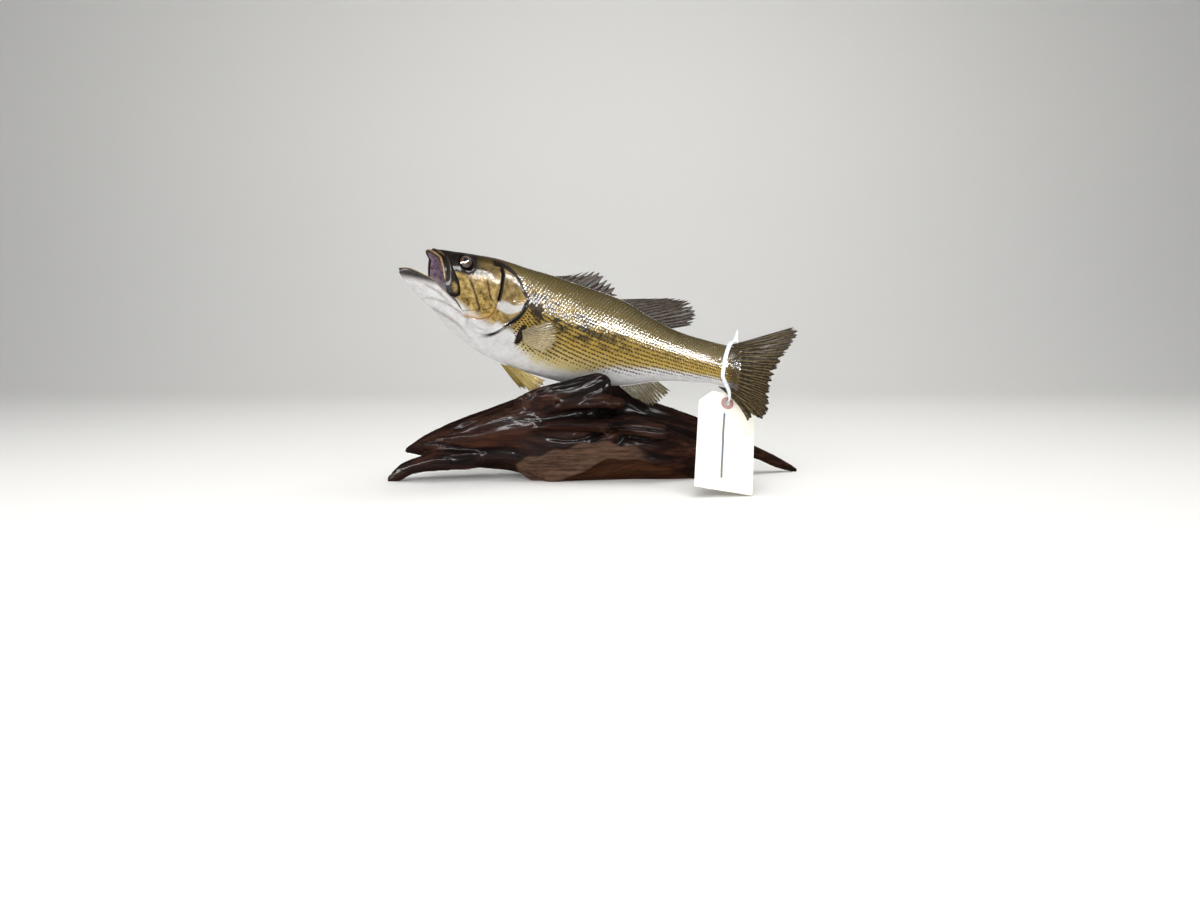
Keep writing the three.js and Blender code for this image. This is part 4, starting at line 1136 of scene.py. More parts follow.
def make_eye(name, side):
    """An eyeball: a flattened ball leaning with the skin, with a low clear dome over the iris."""
    skin = flank_at(EYE["s"] - 3, EYE["h"])
    below = place(EYE["s"] + 3, EYE["h"], side * skin)
    out = place(EYE["s"], EYE["h"] + 7, side * (skin + 16)) - below
    out /= np.linalg.norm(out)
    right = np.cross([0, 0, 1.0], out)
    right /= np.linalg.norm(right)
    up = np.cross(out, right)
    tilt = np.linspace(0, np.pi, 40)[:, None]
    turn = np.linspace(0, 2 * np.pi, 65)[None, :-1]
    flat = EYE["radius"] * EYE_FIT * np.sin(tilt)
    high = EYE["depth"] * EYE_FIT * np.cos(tilt) + 0.35 * ease((0.9 - tilt) / 0.5)
    iris = stacked((len(tilt), turn.size), flat * np.cos(turn), flat * np.sin(turn), high)
    sheets = Sheets()
    sheets.grid(eye_centre(side) + iris @ np.stack([right, up, out]), True, iris=iris / 10)
    return stood_for(sheets.build(name), "eye", name.replace("ball", "eye"))


# ---------------------------------------------------------------- driftwood


def limb_shape(limb):
    """One limb as rings about X: a rounded box between its outlines, fluted along the grain."""
    rows = int((limb["to"] - limb["from"]) / 3.2)
    x = np.linspace(limb["from"], limb["to"], rows)[:, None]
    turn = np.linspace(0, 2 * np.pi, 57)[None, :-1]
    ridges = limb.get("ridges", 0.0)
    grain = 1 + ridges * np.sin(4 * turn + x / 42) + 0.6 * ridges * np.sin(7 * turn)
    y, z = (powered(part, 2 / 2.3) * grain for part in (np.cos(turn), np.sin(turn)))
    points = [x + 0 * y, lerp(limb["near"](x), limb["far"](x), 0.5 + y / 2),
              lerp(limb["base"](x), limb["top"](x), 0.5 + z / 2)]
    return np.stack(np.broadcast_arrays(*points), -1)


def level(x):
    """A line that stays at 0."""
    return 0 * x


# Each limb runs along X, between base and top in Z and between near and far in Y.
LIMBS = (
    {"from": -236, "to": 252, "ridges": 0.035,
     "top": profile((-236, 38), (-215, 53), (-190, 65), (-138, 84), (-87, 104), (-45, 117),
                    (0, 117), (28, 109), (64, 92), (118, 71), (189, 39), (225, 20.5), (252, 4)),
     "base": profile((-236, 33), (-190, 24), (-150, 16), (-112, 12), (-85, 4), (-66, -7),
                     (112, -7), (135, 5), (165, 17), (189, 20), (225, 6), (252, -2)),
     "near": profile((-236, -13), (-190, -26), (-138, -34), (-87, -40), (-10, -36), (35, -2),
                     (118, 4), (160, 10), (225, 34), (252, 45)),
     "far": profile((-236, -7), (-190, 16), (-138, 28), (-87, 42), (-30, 56), (50, 60),
                    (118, 52), (160, 44), (225, 48), (252, 51))},
    {"from": -256, "to": -110, "ridges": 0.03,
     "top": profile((-256, 5), (-238, 22), (-215, 31), (-180, 42), (-110, 50)),
     "base": profile((-256, -1), (-246, -0.6), (-224, 9), (-190, 14), (-110, 16)),
     "near": profile((-256, -24), (-235, -31), (-190, -38), (-150, -35), (-110, -18)),
     "far": profile((-256, -19), (-235, -13), (-190, -6), (-110, 4))},
    {"from": -80, "to": 150, "ridges": 0.03,
     "top": profile((-80, 62), (0, 82), (60, 76), (120, 60), (150, 48)),
     "base": profile((-80, 6), (-60, -7), (112, -7), (150, 16)),
     "near": profile((-80, -34), (0, -38), (64, -32), (118, -14), (150, 6)),
     "far": profile((-80, 20), (50, 40), (150, 40))},
    {"from": -104, "to": 15, "ridges": 0.03,
     "top": profile((-104, 99), (-70, 116), (-45, 122), (-20, 130), (-4, 133), (9, 127), (15, 116)),
     "base": profile((-104, 70), (-40, 84), (0, 92), (15, 104)),
     "near": profile((-104, -24), (-60, -41), (-8, -46), (15, -38)),
     "far": profile((-104, -20), (-70, -28), (-40, -18), (6, -14), (15, -22))},
    {"from": -70, "to": 30,
     "top": profile((-70, 98), (0, 104), (24, 101), (30, 97)),
     "base": profile((-70, 84), (0, 88), (24, 88), (30, 93)),
     "near": profile((-70, -28), (-40, -41), (0, -49), (24, -46), (30, -41)), "far": level},
    {"from": -120, "to": 84,
     "top": profile((-120, 62), (-40, 80), (20, 76), (76, 70), (84, 64)),
     "base": profile((-120, 50), (-40, 62), (20, 60), (76, 52), (84, 58)),
     "near": profile((-120, -25), (-40, -49), (30, -50), (76, -46), (84, -38)), "far": level},
    {"from": -104, "to": 70,
     "top": profile((-104, 22), (-60, 36), (0, 48), (70, 34)),
     "base": profile((-104, 16), (-78, -3), (20, -3), (70, 6)),
     "near": profile((-104, -22), (-60, -24), (0, -27), (70, -15)), "far": level},
    {"from": 8, "to": 84, "ridges": 0.03,
     "top": profile((8, 60), (40, 52), (84, 20)),
     "base": profile((8, 20), (30, -2), (72, -2), (84, 4)),
     "near": profile((8, 30), (40, 40), (84, 58)),
     "far": profile((8, 62), (40, 76), (72, 78), (84, 70))},
)
FOOT = LIMBS[6]
WOOD_VOXEL = 1.5
LOG_LEAST = 46  # least height and width that the grain is drawn out on

hollow_line = profile((-50, 2), (-36, 6), (-21, 13), (-3, 25), (15, 29.5), (33, 29), (69, 21),
                      (102, 9.5), (116, 2))


def foot_mask(points):
    """Share of the splintered foot at points: inside its outline, on the front of the wood."""
    x, y, z = points.T
    below = ease((FOOT["top"](x) + 3 + 2 * np.sin(x / 5) - z) / 3)
    ends = ease((x - FOOT["from"] - 2) / 6) * ease((FOOT["to"] - 8 - x) / 25)
    return below * ends * ease((FOOT["near"](x) + 14 - y) / 6)


def hollow_mask(points):
    """Share of the hollow under the log at points: below its arch, on the front of the wood."""
    x, y, z = points.T
    front = ease((24 - y) / 14) * ease((x + 50) / 6) * ease((118 - x) / 6)
    return ease((hollow_line(x) + 1.2 * np.sin(x / 6) - z) / 2.2) * front


def knot_height(x, y, z):
    """A knot on the front of the log: a ring round a pit."""
    d = np.hypot(x + 50, z - 96)
    return (y < 0) * (1.2 * bell((d - 4.5) / 1.8) - 1.5 * bell(d / 2.2))


def crack_depth(x, y, z):
    """A long crack across the front of the log, from 0 to 1."""
    off = z - 60 - 0.10 * x - 5 * np.sin(x / 19)
    return bell(off / 1.6) * ease((90 - x) / 20) * ease((x + 70) / 20) * ease((20 - y) / 10)


def wood_grain(points):
    """Height of the grain at points on the wood, in mm, below 0 in its furrows.

    Long swells and sharp furrows (1 - 2 |noise|) are drawn out along the log. They are measured
    across it in shares of its own height and width, so that they close in together at its ends.
    """
    log = LIMBS[0]
    x, y, z = points.T
    top, base, near, far = (log[side](x) for side in ("top", "base", "near", "far"))
    middle_y, middle_z = (near + far) / 2, (top + base) / 2
    share_y = (y - middle_y) / np.maximum(far - near, LOG_LEAST) * 2
    share_z = (z - middle_z) / np.maximum(top - base, LOG_LEAST) * 2
    bend = 0.16 * np.sin(x / 41) + 0.06 * np.sin(x / 17 + 1)
    across = np.stack([share_y + bend, share_z - bend], -1)

    def drawn(length, count, seed, octaves):
        return layered(np.concatenate([x[:, None] / length, across * count], 1), seed, octaves)

    thick = ease((x + 250) / 90) * ease((275 - x) / 110)
    swell = 2.4 * drawn(150, 2.3, 5, 2)
    furrow = 1.2 * np.clip(1 - 2 * np.abs(drawn(150, 3.2, 11, 2)), -1.6, 0.8)
    thread = 0.55 * (1 - 2 * np.abs(drawn(60, 17, 31, 1)))
    smooth = thick * (swell + furrow - 1.2) + thread - 0.4
    torn = layered(np.stack([(x + z * 1.2) / 30, (z - 0.36 * x) / 2.6, y / 6], -1), 47, 2)
    foot = foot_mask(points)
    height = lerp(smooth, 1.3 * np.clip(torn, -1.2, 1) - 1.0, foot)
    return height - 3.0 * crack_depth(x, y - middle_y, z) * (1 - foot) + knot_height(x, y, z)


def read_back(mesh, what):
    """A mesh's points or normals, as rows of three."""
    values = np.zeros(len(mesh.vertices) * 3)
    mesh.vertices.foreach_get(what, values)
    return values.reshape(-1, 3)


def make_wood():
    """The driftwood: limbs joined into one skin by voxels, then furrowed along the grain."""
    sheets = Sheets()
    for limb in LIMBS:
        points = limb_shape(limb)
        ends = [np.repeat(points[[k]].mean(1, keepdims=True), points.shape[1], 1) for k in (0, -1)]
        sheets.grid(np.concatenate([ends[0], points, ends[1]]), round_rows=True)
    rough = sheets.build("driftwood_rough")
    remesh = rough.modifiers.new("one skin", "REMESH")
    remesh.mode = "VOXEL"
    remesh.voxel_size = WOOD_VOXEL * MM
    smooth = rough.modifiers.new("soften", "SMOOTH")
    smooth.factor = 0.6
    smooth.iterations = 3
    graph = bpy.context.evaluated_depsgraph_get()
    mesh = bpy.data.meshes.new_from_object(rough.evaluated_get(graph))
    bpy.data.objects.remove(rough)
    points, normal = read_back(mesh, "co"), read_back(mesh, "normal")
    local = (points - SHIFT) / MM
    depth = wood_grain(local)
    off_floor = ease(local[:, 2] / 3)
    points = points + normal * (depth * off_floor)[:, None] * MM
    hollow = hollow_mask(local)
    points[:, 1] += hollow * (7 + 2.5 * np.sin(local[:, 0] / 23)) * MM
    points[:, 2] = np.maximum(points[:, 2], 0.0)
    points = keep_off_fish(points)
    mesh.vertices.foreach_set("co", points.ravel())
    store(mesh, "grain", np.stack([depth, foot_mask((points - SHIFT) / MM), hollow], -1))
    mesh.update()
    return stood_for(shown("driftwood_skin", mesh), "wood", "driftwood")


def keep_off_fish(points):
    """Moves the wood's points that lie inside the fish out to just under its flank.

    Each point is turned back into s, h and l by its nearest place on the backbone, then lowered
    to where the belly's half ellipse lies at its l.
    """
    local = (points - SHIFT) / MM
    gap = local[:, None, :2] - SPINE[None, ::SPINE_SKIP, :2]
    s = SPINE_S[np.argmin((gap**2).sum(-1), 1) * SPINE_SKIP]
    for _ in range(3):
        base = place(s, 0 * s, 0 * s)
        s = s + ((local - base) * (place(s + 1, 0 * s, 0 * s) - base)).sum(-1)
    base = place(s, 0 * s, 0 * s)
    up = place(s, 0 * s + 1, 0 * s) - base
    left = place(s, 0 * s, 0 * s + 1) - base
    h, l = ((local - base) * up).sum(-1), ((local - base) * left).sum(-1)
    middle = widest_line(s)
    deep = middle - belly_line(s)
    part = np.where(h < middle, (middle - h) / (deep - 0.3), 0)
    aside = l / half_width(s)
    inside = (h < middle + 10) & (np.hypot(part, aside) < 1) & (s > 60) & (s < TAIL_ROOT)
    belly = np.sqrt(np.clip(1 - aside**2, 0, 1))
    drop = np.where(inside, deep * (belly - part), 0)
    return points - up * drop[:, None] * MM


# ---------------------------------------------------------------- tag and strap

TAG_HOLE = np.array([145.5, -63, 98.0])
TAG_FOOT = np.array([136, -116, 11.0])
TAG_ACROSS = np.array([0.98, 0.2, -0.065])
# The strap: its place, its top's h, half its spread, and half its section each way.
LOOP = {"s": 401.0, "top": 30.5, "half": 18.0, "band": 2.7, "thick": 0.7}


def unit(vectors):
    """Vectors of length 1 along the given ones."""
    return vectors / np.linalg.norm(vectors, axis=-1, keepdims=True)


def tag_axes():
    """The card's own directions: across it, up it, and out of its front."""
    upward = unit(TAG_HOLE - TAG_FOOT)
    across = unit(TAG_ACROSS - upward * (TAG_ACROSS @ upward))
    return across, upward, np.cross(across, upward)


def make_loop():
    """A flat cloudy strap: a rounded section carried round a drop-shaped ring.

    The ring runs from the tag's hole up both sides of the tail stalk and over it. Its section is a
    flat oval whose broad side faces outwards.
    """
    turn = np.linspace(0, 2 * np.pi, 121)[:-1]
    facing = tag_axes()[2]
    top = place(LOOP["s"], LOOP["top"], 0.0)
    left = place(LOOP["s"], 0.0, 1.0) - place(LOOP["s"], 0.0, 0.0)

    def ring(t):
        high = (0.5 + 0.5 * np.cos(t))[:, None]
        aside = unit(lerp(facing, left, np.minimum(1, 2.2 * high)))
        spread = LOOP["half"] * powered(np.sin(t), 0.55)[:, None] * lerp(0.85, 1.0, high)
        return lerp(TAG_HOLE, top, high) + aside * spread

    centre = ring(turn)
    tangent = unit(ring(turn + 0.05) - ring(turn - 0.05))
    outward = centre - lerp(top, TAG_HOLE, 0.45)
    outward = unit(outward - tangent * (outward * tangent).sum(1, keepdims=True))
    flat = np.cross(tangent, outward)
    low = ((0.5 - 0.5 * np.cos(turn)) ** 8)[:, None, None]
    v = np.linspace(0, 2 * np.pi, 17)[:-1]
    wide, high = (powered(part, 0.45)[None, :, None] for part in (np.cos(v), np.sin(v)))
    points = centre[:, None] + flat[:, None] * wide * lerp(LOOP["band"], 0.7, low)
    points = points + outward[:, None] * high * lerp(LOOP["thick"], 0.5, low)
    sheets = Sheets()
    sheets.grid(np.concatenate([points, points[:1]]), round_rows=True)
    return stood_for(sheets.build("tag_strap"), "strap", "tag_loop")


def make_tab():
    """The strap's free end: a thin tapered leaf that stands on top of the loop.

    Its half width runs from 3.8 mm to 1.3 mm up its length, its section is a flat oval, and it
    leans back and bows a little.
    """
    v = np.linspace(0, 1, 22)[:, None]
    turn = np.linspace(0, 2 * np.pi, 25)[None, :-1]
    closing = np.sqrt(np.clip(np.minimum(v / 0.05, (1 - v) / 0.05), 0, 1))
    wide = lerp(3.8, 1.3, v**0.8) * closing
    s = LOOP["s"] - 3.0 * v + wide * powered(np.cos(turn), 0.7)
    h = LOOP["top"] - 1.5 + 14 * v + 0 * turn
    l = 1.0 - 4.0 * v * v + 0.45 * closing * np.sin(turn)
    sheets = Sheets()
    sheets.grid(place(s, h, l), round_rows=True)
    piece = sheets.build("strap_end")
    return piece


# ---------------------------------------------------------------- materials


class Wire:
    """A value in a material: an expression on wires and numbers adds its Math nodes."""

    def __init__(self, paint, socket):
        self.paint = paint
        self.socket = socket

    def math(self, operation, *values, **settings):
        inputs = dict(enumerate((self, *values)))
        return self.paint.add("ShaderNodeMath", {"operation": operation, **settings}, inputs)

    def __add__(self, other):
        return self.math("ADD", other)

    def __sub__(self, other):
        return self.math("SUBTRACT", other)

    def __rsub__(self, other):
        return self.paint.add("ShaderNodeMath", {"operation": "SUBTRACT"}, {0: other, 1: self})

    def __mul__(self, other):
        return self.math("MULTIPLY", other)

    def __truediv__(self, other):
        return self.math("DIVIDE", other)

    def __pow__(self, other):
        return self.math("POWER", other)

    __radd__ = __add__
    __rmul__ = __mul__

    def most(self, other):
        return self.math("MAXIMUM", other)

    def least(self, other):
        return self.math("MINIMUM", other)

    def held(self):
        return self.math("ADD", 0.0, use_clamp=True)

    def fade(self, start, stop):
        """Eased from 0 at start to 1 at stop."""
        values = {0: self, 1: float(start), 2: float(stop), 3: 0.0, 4: 1.0}
        return self.paint.add("ShaderNodeMapRange", {"interpolation_type": "SMOOTHSTEP"}, values)

    def hump(self, middle, width):
        """1 at middle, falling smoothly to 0 at a width to either side."""
        return 1 - (self - middle).math("ABSOLUTE").fade(0, width)


class Paint:
    """A material under construction, with one method that adds any node."""

    def __init__(self, name):
        self.material = bpy.data.materials.new(name)
        self.material.use_nodes = True
        self.tree = self.material.node_tree
        self.shader = self.tree.nodes["Principled BSDF"]

    def add(self, kind, settings=None, inputs=None, out=0):
        """Adds a node, sets it up, feeds its sockets and returns one output."""
        node = self.tree.nodes.new(kind)
        for key, value in (settings or {}).items():
            if key == "stops":
                self.set_stops(node.color_ramp, value)
            else:
                setattr(node, key, value)
        for socket, value in (inputs or {}).items():
            self.feed(node.inputs[socket], value)
        return Wire(self, node.outputs[out])

    def set_stops(self, ramp, stops):
        while len(ramp.elements) < len(stops):
            ramp.elements.new(0.5)
        for element, (position, colour) in zip(ramp.elements, stops):
            element.position = position
            element.color = (*colour, 1)

    def feed(self, socket, value):
        if isinstance(value, Wire):
            self.tree.links.new(value.socket, socket)
        elif isinstance(value, tuple) and len(value) == 3 and socket.type == "RGBA":
            socket.default_value = (*value, 1)
        else:
            socket.default_value = value

    def carried(self, name):
        """What each point carries under a name: the vector, then its three numbers."""
        vector = self.add("ShaderNodeAttribute", {"attribute_name": name}, out="Vector")
        return vector, *self.split(vector)

    def split(self, vector):
        node = self.add("ShaderNodeSeparateXYZ", inputs={0: vector})
        outputs = node.socket.node.outputs
        return [Wire(self, outputs[k]) for k in range(3)]

    def joined(self, x, y, z):
        return self.add("ShaderNodeCombineXYZ", inputs={0: x, 1: y, 2: z})

    def mix(self, a, b, share, blend="MIX"):
        return self.add("ShaderNodeMix", {"data_type": "RGBA", "blend_type": blend},
                        {0: share, 6: a, 7: b}, out=2)

    def ramp(self, value, *stops):
        return self.add("ShaderNodeValToRGB", {"stops": stops}, {0: value})

    def noise(self, vector, scale, detail=2.0, rough=0.5):
        return self.add("ShaderNodeTexNoise", None,
                        {"Vector": vector, "Scale": scale, "Detail": detail, "Roughness": rough})

    def cells(self, vector, scale):
        return self.add("ShaderNodeTexVoronoi", None, {"Vector": vector, "Scale": scale})

    def stretched(self, vector, size):
        return self.add("ShaderNodeVectorMath", {"operation": "MULTIPLY"}, {0: vector, 1: size})

    def bump(self, height, distance, strength=1.0):
        return self.add("ShaderNodeBump", None,
                        {"Height": height, "Distance": distance * MM, "Strength": strength})

    def finish(self, **sockets):
        """Sets the shader's own sockets, named with _ for a space."""
        for name, value in sockets.items():
            self.feed(self.shader.inputs[name.replace("_", " ")], value)
        return self.material


BLACK_BROWN = (0.010, 0.0065, 0.004)
WARM_BROWN = (0.085, 0.045, 0.018)
SPOT_BROWN = (0.022, 0.012, 0.005)
BLOTCH_BROWN = (0.022, 0.014, 0.007)
COVER_BROWN = (0.085, 0.055, 0.022)
CHEEK_AMBER = (0.50, 0.25, 0.065)
RIM_GOLD = (0.40, 0.30, 0.10)
# Painted shade: black deep in the gullet.
GULLET_SHADE_BLACK = (0.018, 0.009, 0.012)
CHEEK_COLOURS = ((0.3, (0.07, 0.04, 0.013)), (0.46, (0.27, 0.175, 0.045)),
                 (0.6, (0.48, 0.34, 0.11)), (0.72, (0.58, 0.46, 0.21)))
THROAT_COLOURS = ((0.32, (0.54, 0.52, 0.52)), (0.5, (0.61, 0.60, 0.60)),
                  (0.7, (0.68, 0.67, 0.67)))
LINING_COLOURS = ((0.3, (0.50, 0.38, 0.48)), (0.52, (0.74, 0.67, 0.75)),
                  (0.72, (0.85, 0.83, 0.87)))
# Painted shade: the roof of the mouth darker than its floor.
SHADED_ROOF_COLOURS = ((0.3, (0.12, 0.06, 0.09)), (0.6, (0.40, 0.30, 0.37)))
LIP_COLOURS = ((0.3, (0.36, 0.25, 0.12)), (0.5, (0.17, 0.10, 0.045)), (0.75, (0.035, 0.020, 0.012)))
GIRTH_COLOURS = (
    (0.0, (0.62, 0.62, 0.60)),
    (0.05, (0.60, 0.58, 0.50)),
    (0.13, (0.50, 0.40, 0.17)),
    (0.28, (0.42, 0.28, 0.05)),
    (0.48, (0.28, 0.185, 0.03)),
    (0.60, (0.16, 0.115, 0.028)),
    (0.8, (0.10, 0.075, 0.022)),
    (1.0, (0.05, 0.038, 0.014)),
)


def body_colour(paint, body, s, girth, dark, pale, head):
    """The fish's base colour: girth ramp, golden cheek, white throat, then the dark marks.

    The cheek's gold dulls to brown behind the groove. Flecks break up the marks' edges.
    """
    blotch = paint.noise(body, 9, 3)
    fleck = paint.noise(body, 45, 3, 0.6)
    ramp = paint.ramp(girth * 0.5 + 0.5 + (blotch - 0.5) * 0.12, *GIRTH_COLOURS)
    cheek = paint.ramp(paint.noise(body, 16, 4, 0.65), *CHEEK_COLOURS)
    cheek = paint.mix(cheek, COVER_BROWN, s.fade(0.84, 0.94) * 0.5)
    colour = paint.mix(ramp, cheek, head * girth.fade(0.75, 0.15))
    throat = paint.ramp(paint.noise(body, 11, 4, 0.6), *THROAT_COLOURS)
    colour = paint.mix(colour, throat, pale)
    ink = (dark * 1.15 - (fleck - 0.5) * 0.6 * (1 - dark)).held()
    brown = paint.mix(WARM_BROWN, BLACK_BROWN, ink.fade(0.3, 0.9))
    return paint.mix(colour, brown, (ink * 1.05).held())


def skin_material():
    """Lacquered skin, with an amber edge to the cheek, lilac mouth lining darkened by painted shade
    towards its roof and the gullet, and banded lips.

    The third number of parts is the amber's share up to 1, and 2 on the lips' beads.
    """
    paint = Paint("fish skin")
    body, s, h, _ = paint.carried("body")
    _, girth, dark, pale = paint.carried("marks")
    _, head, inside, third = paint.carried("parts")
    lip = third.fade(1.2, 1.8)
    amber = third.least(1.0) * (1 - lip)
    colour = body_colour(paint, body, s, girth, dark, pale, head)
    colour = paint.mix(colour, CHEEK_AMBER, amber * 0.6)
    mottled = paint.noise(body, 22, 4, 0.6)
    # Painted shade inside the mouth: the roof darker than the floor, and black towards the gullet.
    lining = paint.mix(paint.ramp(mottled, *SHADED_ROOF_COLOURS), paint.ramp(mottled, *LINING_COLOURS),
                       h.fade(0.28, 0.08))
    lining = paint.mix(lining, GULLET_SHADE_BLACK, s.fade(0.2, 0.62))
    colour = paint.mix(colour, lining, inside.fade(0.15, 0.75))
    banded = paint.ramp(dark + (paint.noise(body, 40, 3) - 0.5) * 0.5, *LIP_COLOURS)
    colour = paint.mix(colour, banded, lip)
    pores = paint.cells(body, 42)
    height = paint.noise(body, 75, 4, 0.65) + pores * 0.35
    sheen = paint.noise(body, 34, 4, 0.6).fade(0.42, 0.6)
    return paint.finish(Base_Color=colour, Roughness=0.42 - (1 - inside) * 0.08 + mottled * 0.12,
                        Normal=paint.bump(height, 0.42, 0.7),
                        Coat_Weight=(0.18 - dark * 0.1) * (0.3 + sheen * 0.7),
                        Coat_Roughness=0.1, Specular_IOR_Level=0.02)


def scale_material():
    """Scales: the skin's own colours, a dark mark at each scale's middle and a fine pale rim.

    A broken row of blotches runs below the lateral line, and the lacquer's gloss lies above it.
    """
    paint = Paint("fish scales")
    body, s, *_ = paint.carried("body")
    _, girth, dark, pale = paint.carried("marks")
    _, x, y, chance = paint.carried("shield")
    colour = body_colour(paint, body, s, girth, dark, pale, (1.18 - s).fade(0, 0.16))
    across = y.math("ABSOLUTE")
    spot = (x + (chance - 0.5) * 0.14).hump(0.74, 0.36) * (1 - across.fade(0.05, 0.28))
    lower = girth.fade(-0.88, -0.68) * girth.fade(0.02, -0.2)
    upper = girth.fade(-0.02, 0.12) * 0.3
    some = paint.noise(body, 14, 2).fade(0.12, 0.36)
    strength = lower * (0.8 + chance * 0.5 + s.fade(2.4, 1.3) * 0.5) * some + upper
    colour = paint.mix(colour, SPOT_BROWN, (spot * strength * 1.3).held())
    blotches = paint.noise(paint.stretched(body, (1.0, 1.6, 1)), 8, 3).fade(0.42, 0.56)
    reach = s.fade(3.2, 1.75) * 0.75 + 0.25
    row = girth.fade(-0.5, -0.25) * girth.fade(0.06, -0.06) * reach
    colour = paint.mix(colour, BLOTCH_BROWN, (row * blotches * (0.7 + chance * 0.6)).held())
    rim = x.fade(0.84, 0.99) * girth.fade(-0.6, 0.2) * 0.5
    colour = paint.mix(colour, RIM_GOLD, rim * (0.4 + chance * 0.6))
    rings = (x * 60.0).math("SINE") * 0.15
    height = paint.noise(body, 110, 3) * 0.6 + rings
    band = girth.fade(-0.11, 0.03) * girth.fade(0.42, 0.2)
    return paint.finish(Base_Color=colour, Normal=paint.bump(height, 0.12, 0.5),
                        Roughness=0.45 + chance * 0.16 + paint.noise(body, 70, 2) * 0.1,
                        Coat_Weight=0.16 + band * 0.84, Coat_Roughness=0.11,
                        Specular_IOR_Level=0.02)


def fin_material(name, web, rib_colour, streak, gold, front=0.0, spotted=0.5):
    """A fin: webs between paler rays, streaked and spotted, dried darker towards the torn edge.

    front darkens the webs between its first five rays.
    """
    paint = Paint(name)
    body, *_ = paint.carried("body")
    _, u, t, rib = paint.carried("ray")
    wave = paint.noise(paint.joined(u * 1.6, t * 3.0, 0.0), 2.2, 4, 0.65)
    colour = paint.ramp(wave, (0.35, streak), (0.55, web), (0.7, gold))
    dark_web = u.fade(6.5, 3.0) * rib.fade(0.5, 0.1) * front
    colour = paint.mix(colour, streak, dark_web)
    colour = paint.mix(colour, rib_colour, rib.fade(0.35, 0.95) * 0.6)
    spots = paint.noise(paint.joined(u, t * 9.0, 0.0), 1.7, 2).fade(0.5, 0.62)
    colour = paint.mix(colour, streak, spots * spotted)
    colour = paint.mix(colour, streak, t.fade(0.75, 1.0) * 0.45)
    height = rib * 0.8 + paint.noise(body, 80, 3) * 0.4 + (t * 160.0).math("SINE") * rib * 0.12
    return paint.finish(Base_Color=colour, Roughness=0.45 + wave * 0.2,
                        Normal=paint.bump(height, 0.3, 0.7),
                        Coat_Weight=0.14, Coat_Roughness=0.15, Specular_IOR_Level=0.03)


def eye_material():
    """A glass eye: black pupil, thin gold ring, red-brown iris with spokes, dark rim."""
    paint = Paint("glass eye")
    _, a, b, _ = paint.carried("iris")
    across = (a * a + b * b * 1.15) ** 0.5
    angle = b.math("ARCTAN2", a)
    spokes = paint.noise(paint.joined(angle * 2.5, across * 6.0, 0.0), 3, 4, 0.7)
    iris = paint.ramp(spokes, (0.3, (0.022, 0.008, 0.005)), (0.55, (0.085, 0.028, 0.011)),
                      (0.75, (0.20, 0.085, 0.03)))
    iris = paint.mix(iris, (0.30, 0.17, 0.05), across.hump(0.395, 0.03) * 0.7)
    iris = paint.mix(iris, (0.003, 0.002, 0.002), across.fade(0.385, 0.355))
    iris = paint.mix(iris, (0.006, 0.004, 0.003), across.fade(0.52, 0.66))
    return paint.finish(Base_Color=iris, Roughness=0.12, Coat_Weight=1.0, Coat_Roughness=0.02)


LOG_COLOURS = ((0.36, (0.0035, 0.002, 0.0016)), (0.49, (0.017, 0.0066, 0.0044)),
               (0.62, (0.055, 0.021, 0.012)))
FURROW_BLACK = (0.003, 0.002, 0.0018)
RIDGE_COLOURS = ((0.38, (0.024, 0.010, 0.006)), (0.6, (0.088, 0.039, 0.024)))
FOOT_COLOURS = ((0.38, (0.026, 0.013, 0.009)), (0.6, (0.15, 0.085, 0.055)))
HOLLOW_COLOURS = ((0.38, (0.012, 0.005, 0.003)), (0.62, (0.075, 0.027, 0.012)))


def wood_material():
    """Lacquered driftwood: dark threads along the run, a paler torn foot and a reddish hollow."""
    paint = Paint("lacquered driftwood")
    spot = paint.add("ShaderNodeTexCoord", out="Object")
    _, depth, foot, hollow = paint.carried("grain")
    fibre = paint.noise(paint.stretched(spot, (16, 260, 340)), 1.4, 5, 0.65)
    threads = paint.noise(paint.stretched(spot, (9, 90, 120)), 1.4, 5, 0.65)
    broad = paint.noise(paint.stretched(spot, (5, 24, 34)), 1.0, 3, 0.6)
    colour = paint.ramp(broad * 0.4 + threads * 0.35 + fibre * 0.25, *LOG_COLOURS)
    colour = paint.mix(colour, FURROW_BLACK, depth.fade(-0.6, -2.2) * 0.85)
    colour = paint.mix(colour, paint.ramp(fibre, *RIDGE_COLOURS), depth.fade(0.2, 1.6) * 0.55)
    splinters = paint.ramp(threads * 0.4 + fibre * 0.6, *FOOT_COLOURS)
    colour = paint.mix(colour, splinters, foot * 0.8)
    colour = paint.mix(colour, paint.ramp(broad * 0.5 + fibre * 0.5, *HOLLOW_COLOURS), hollow)
    dull = foot.most(hollow).most(paint.split(spot)[0].fade(0.05, 0.09))
    height = fibre + threads * 0.8 + broad * 0.4
    lacquered = paint.noise(paint.stretched(spot, (10, 30, 40)), 1.0, 2).fade(0.42, 0.62)
    return paint.finish(Base_Color=colour, Roughness=0.5 + fibre * 0.25 + dull * 0.2,
                        Normal=paint.bump(height, 0.9, 0.8),
                        Coat_Weight=lacquered * 0.09 * (1 - dull * 0.85), Coat_Roughness=0.2,
                        Specular_IOR_Level=0.01)


CARD_COLOURS = ((0.3, (0.80, 0.74, 0.57)), (0.55, (0.87, 0.84, 0.72)), (0.75, (0.89, 0.87, 0.78)))
PEN_BLUE = (0.016, 0.03, 0.075)


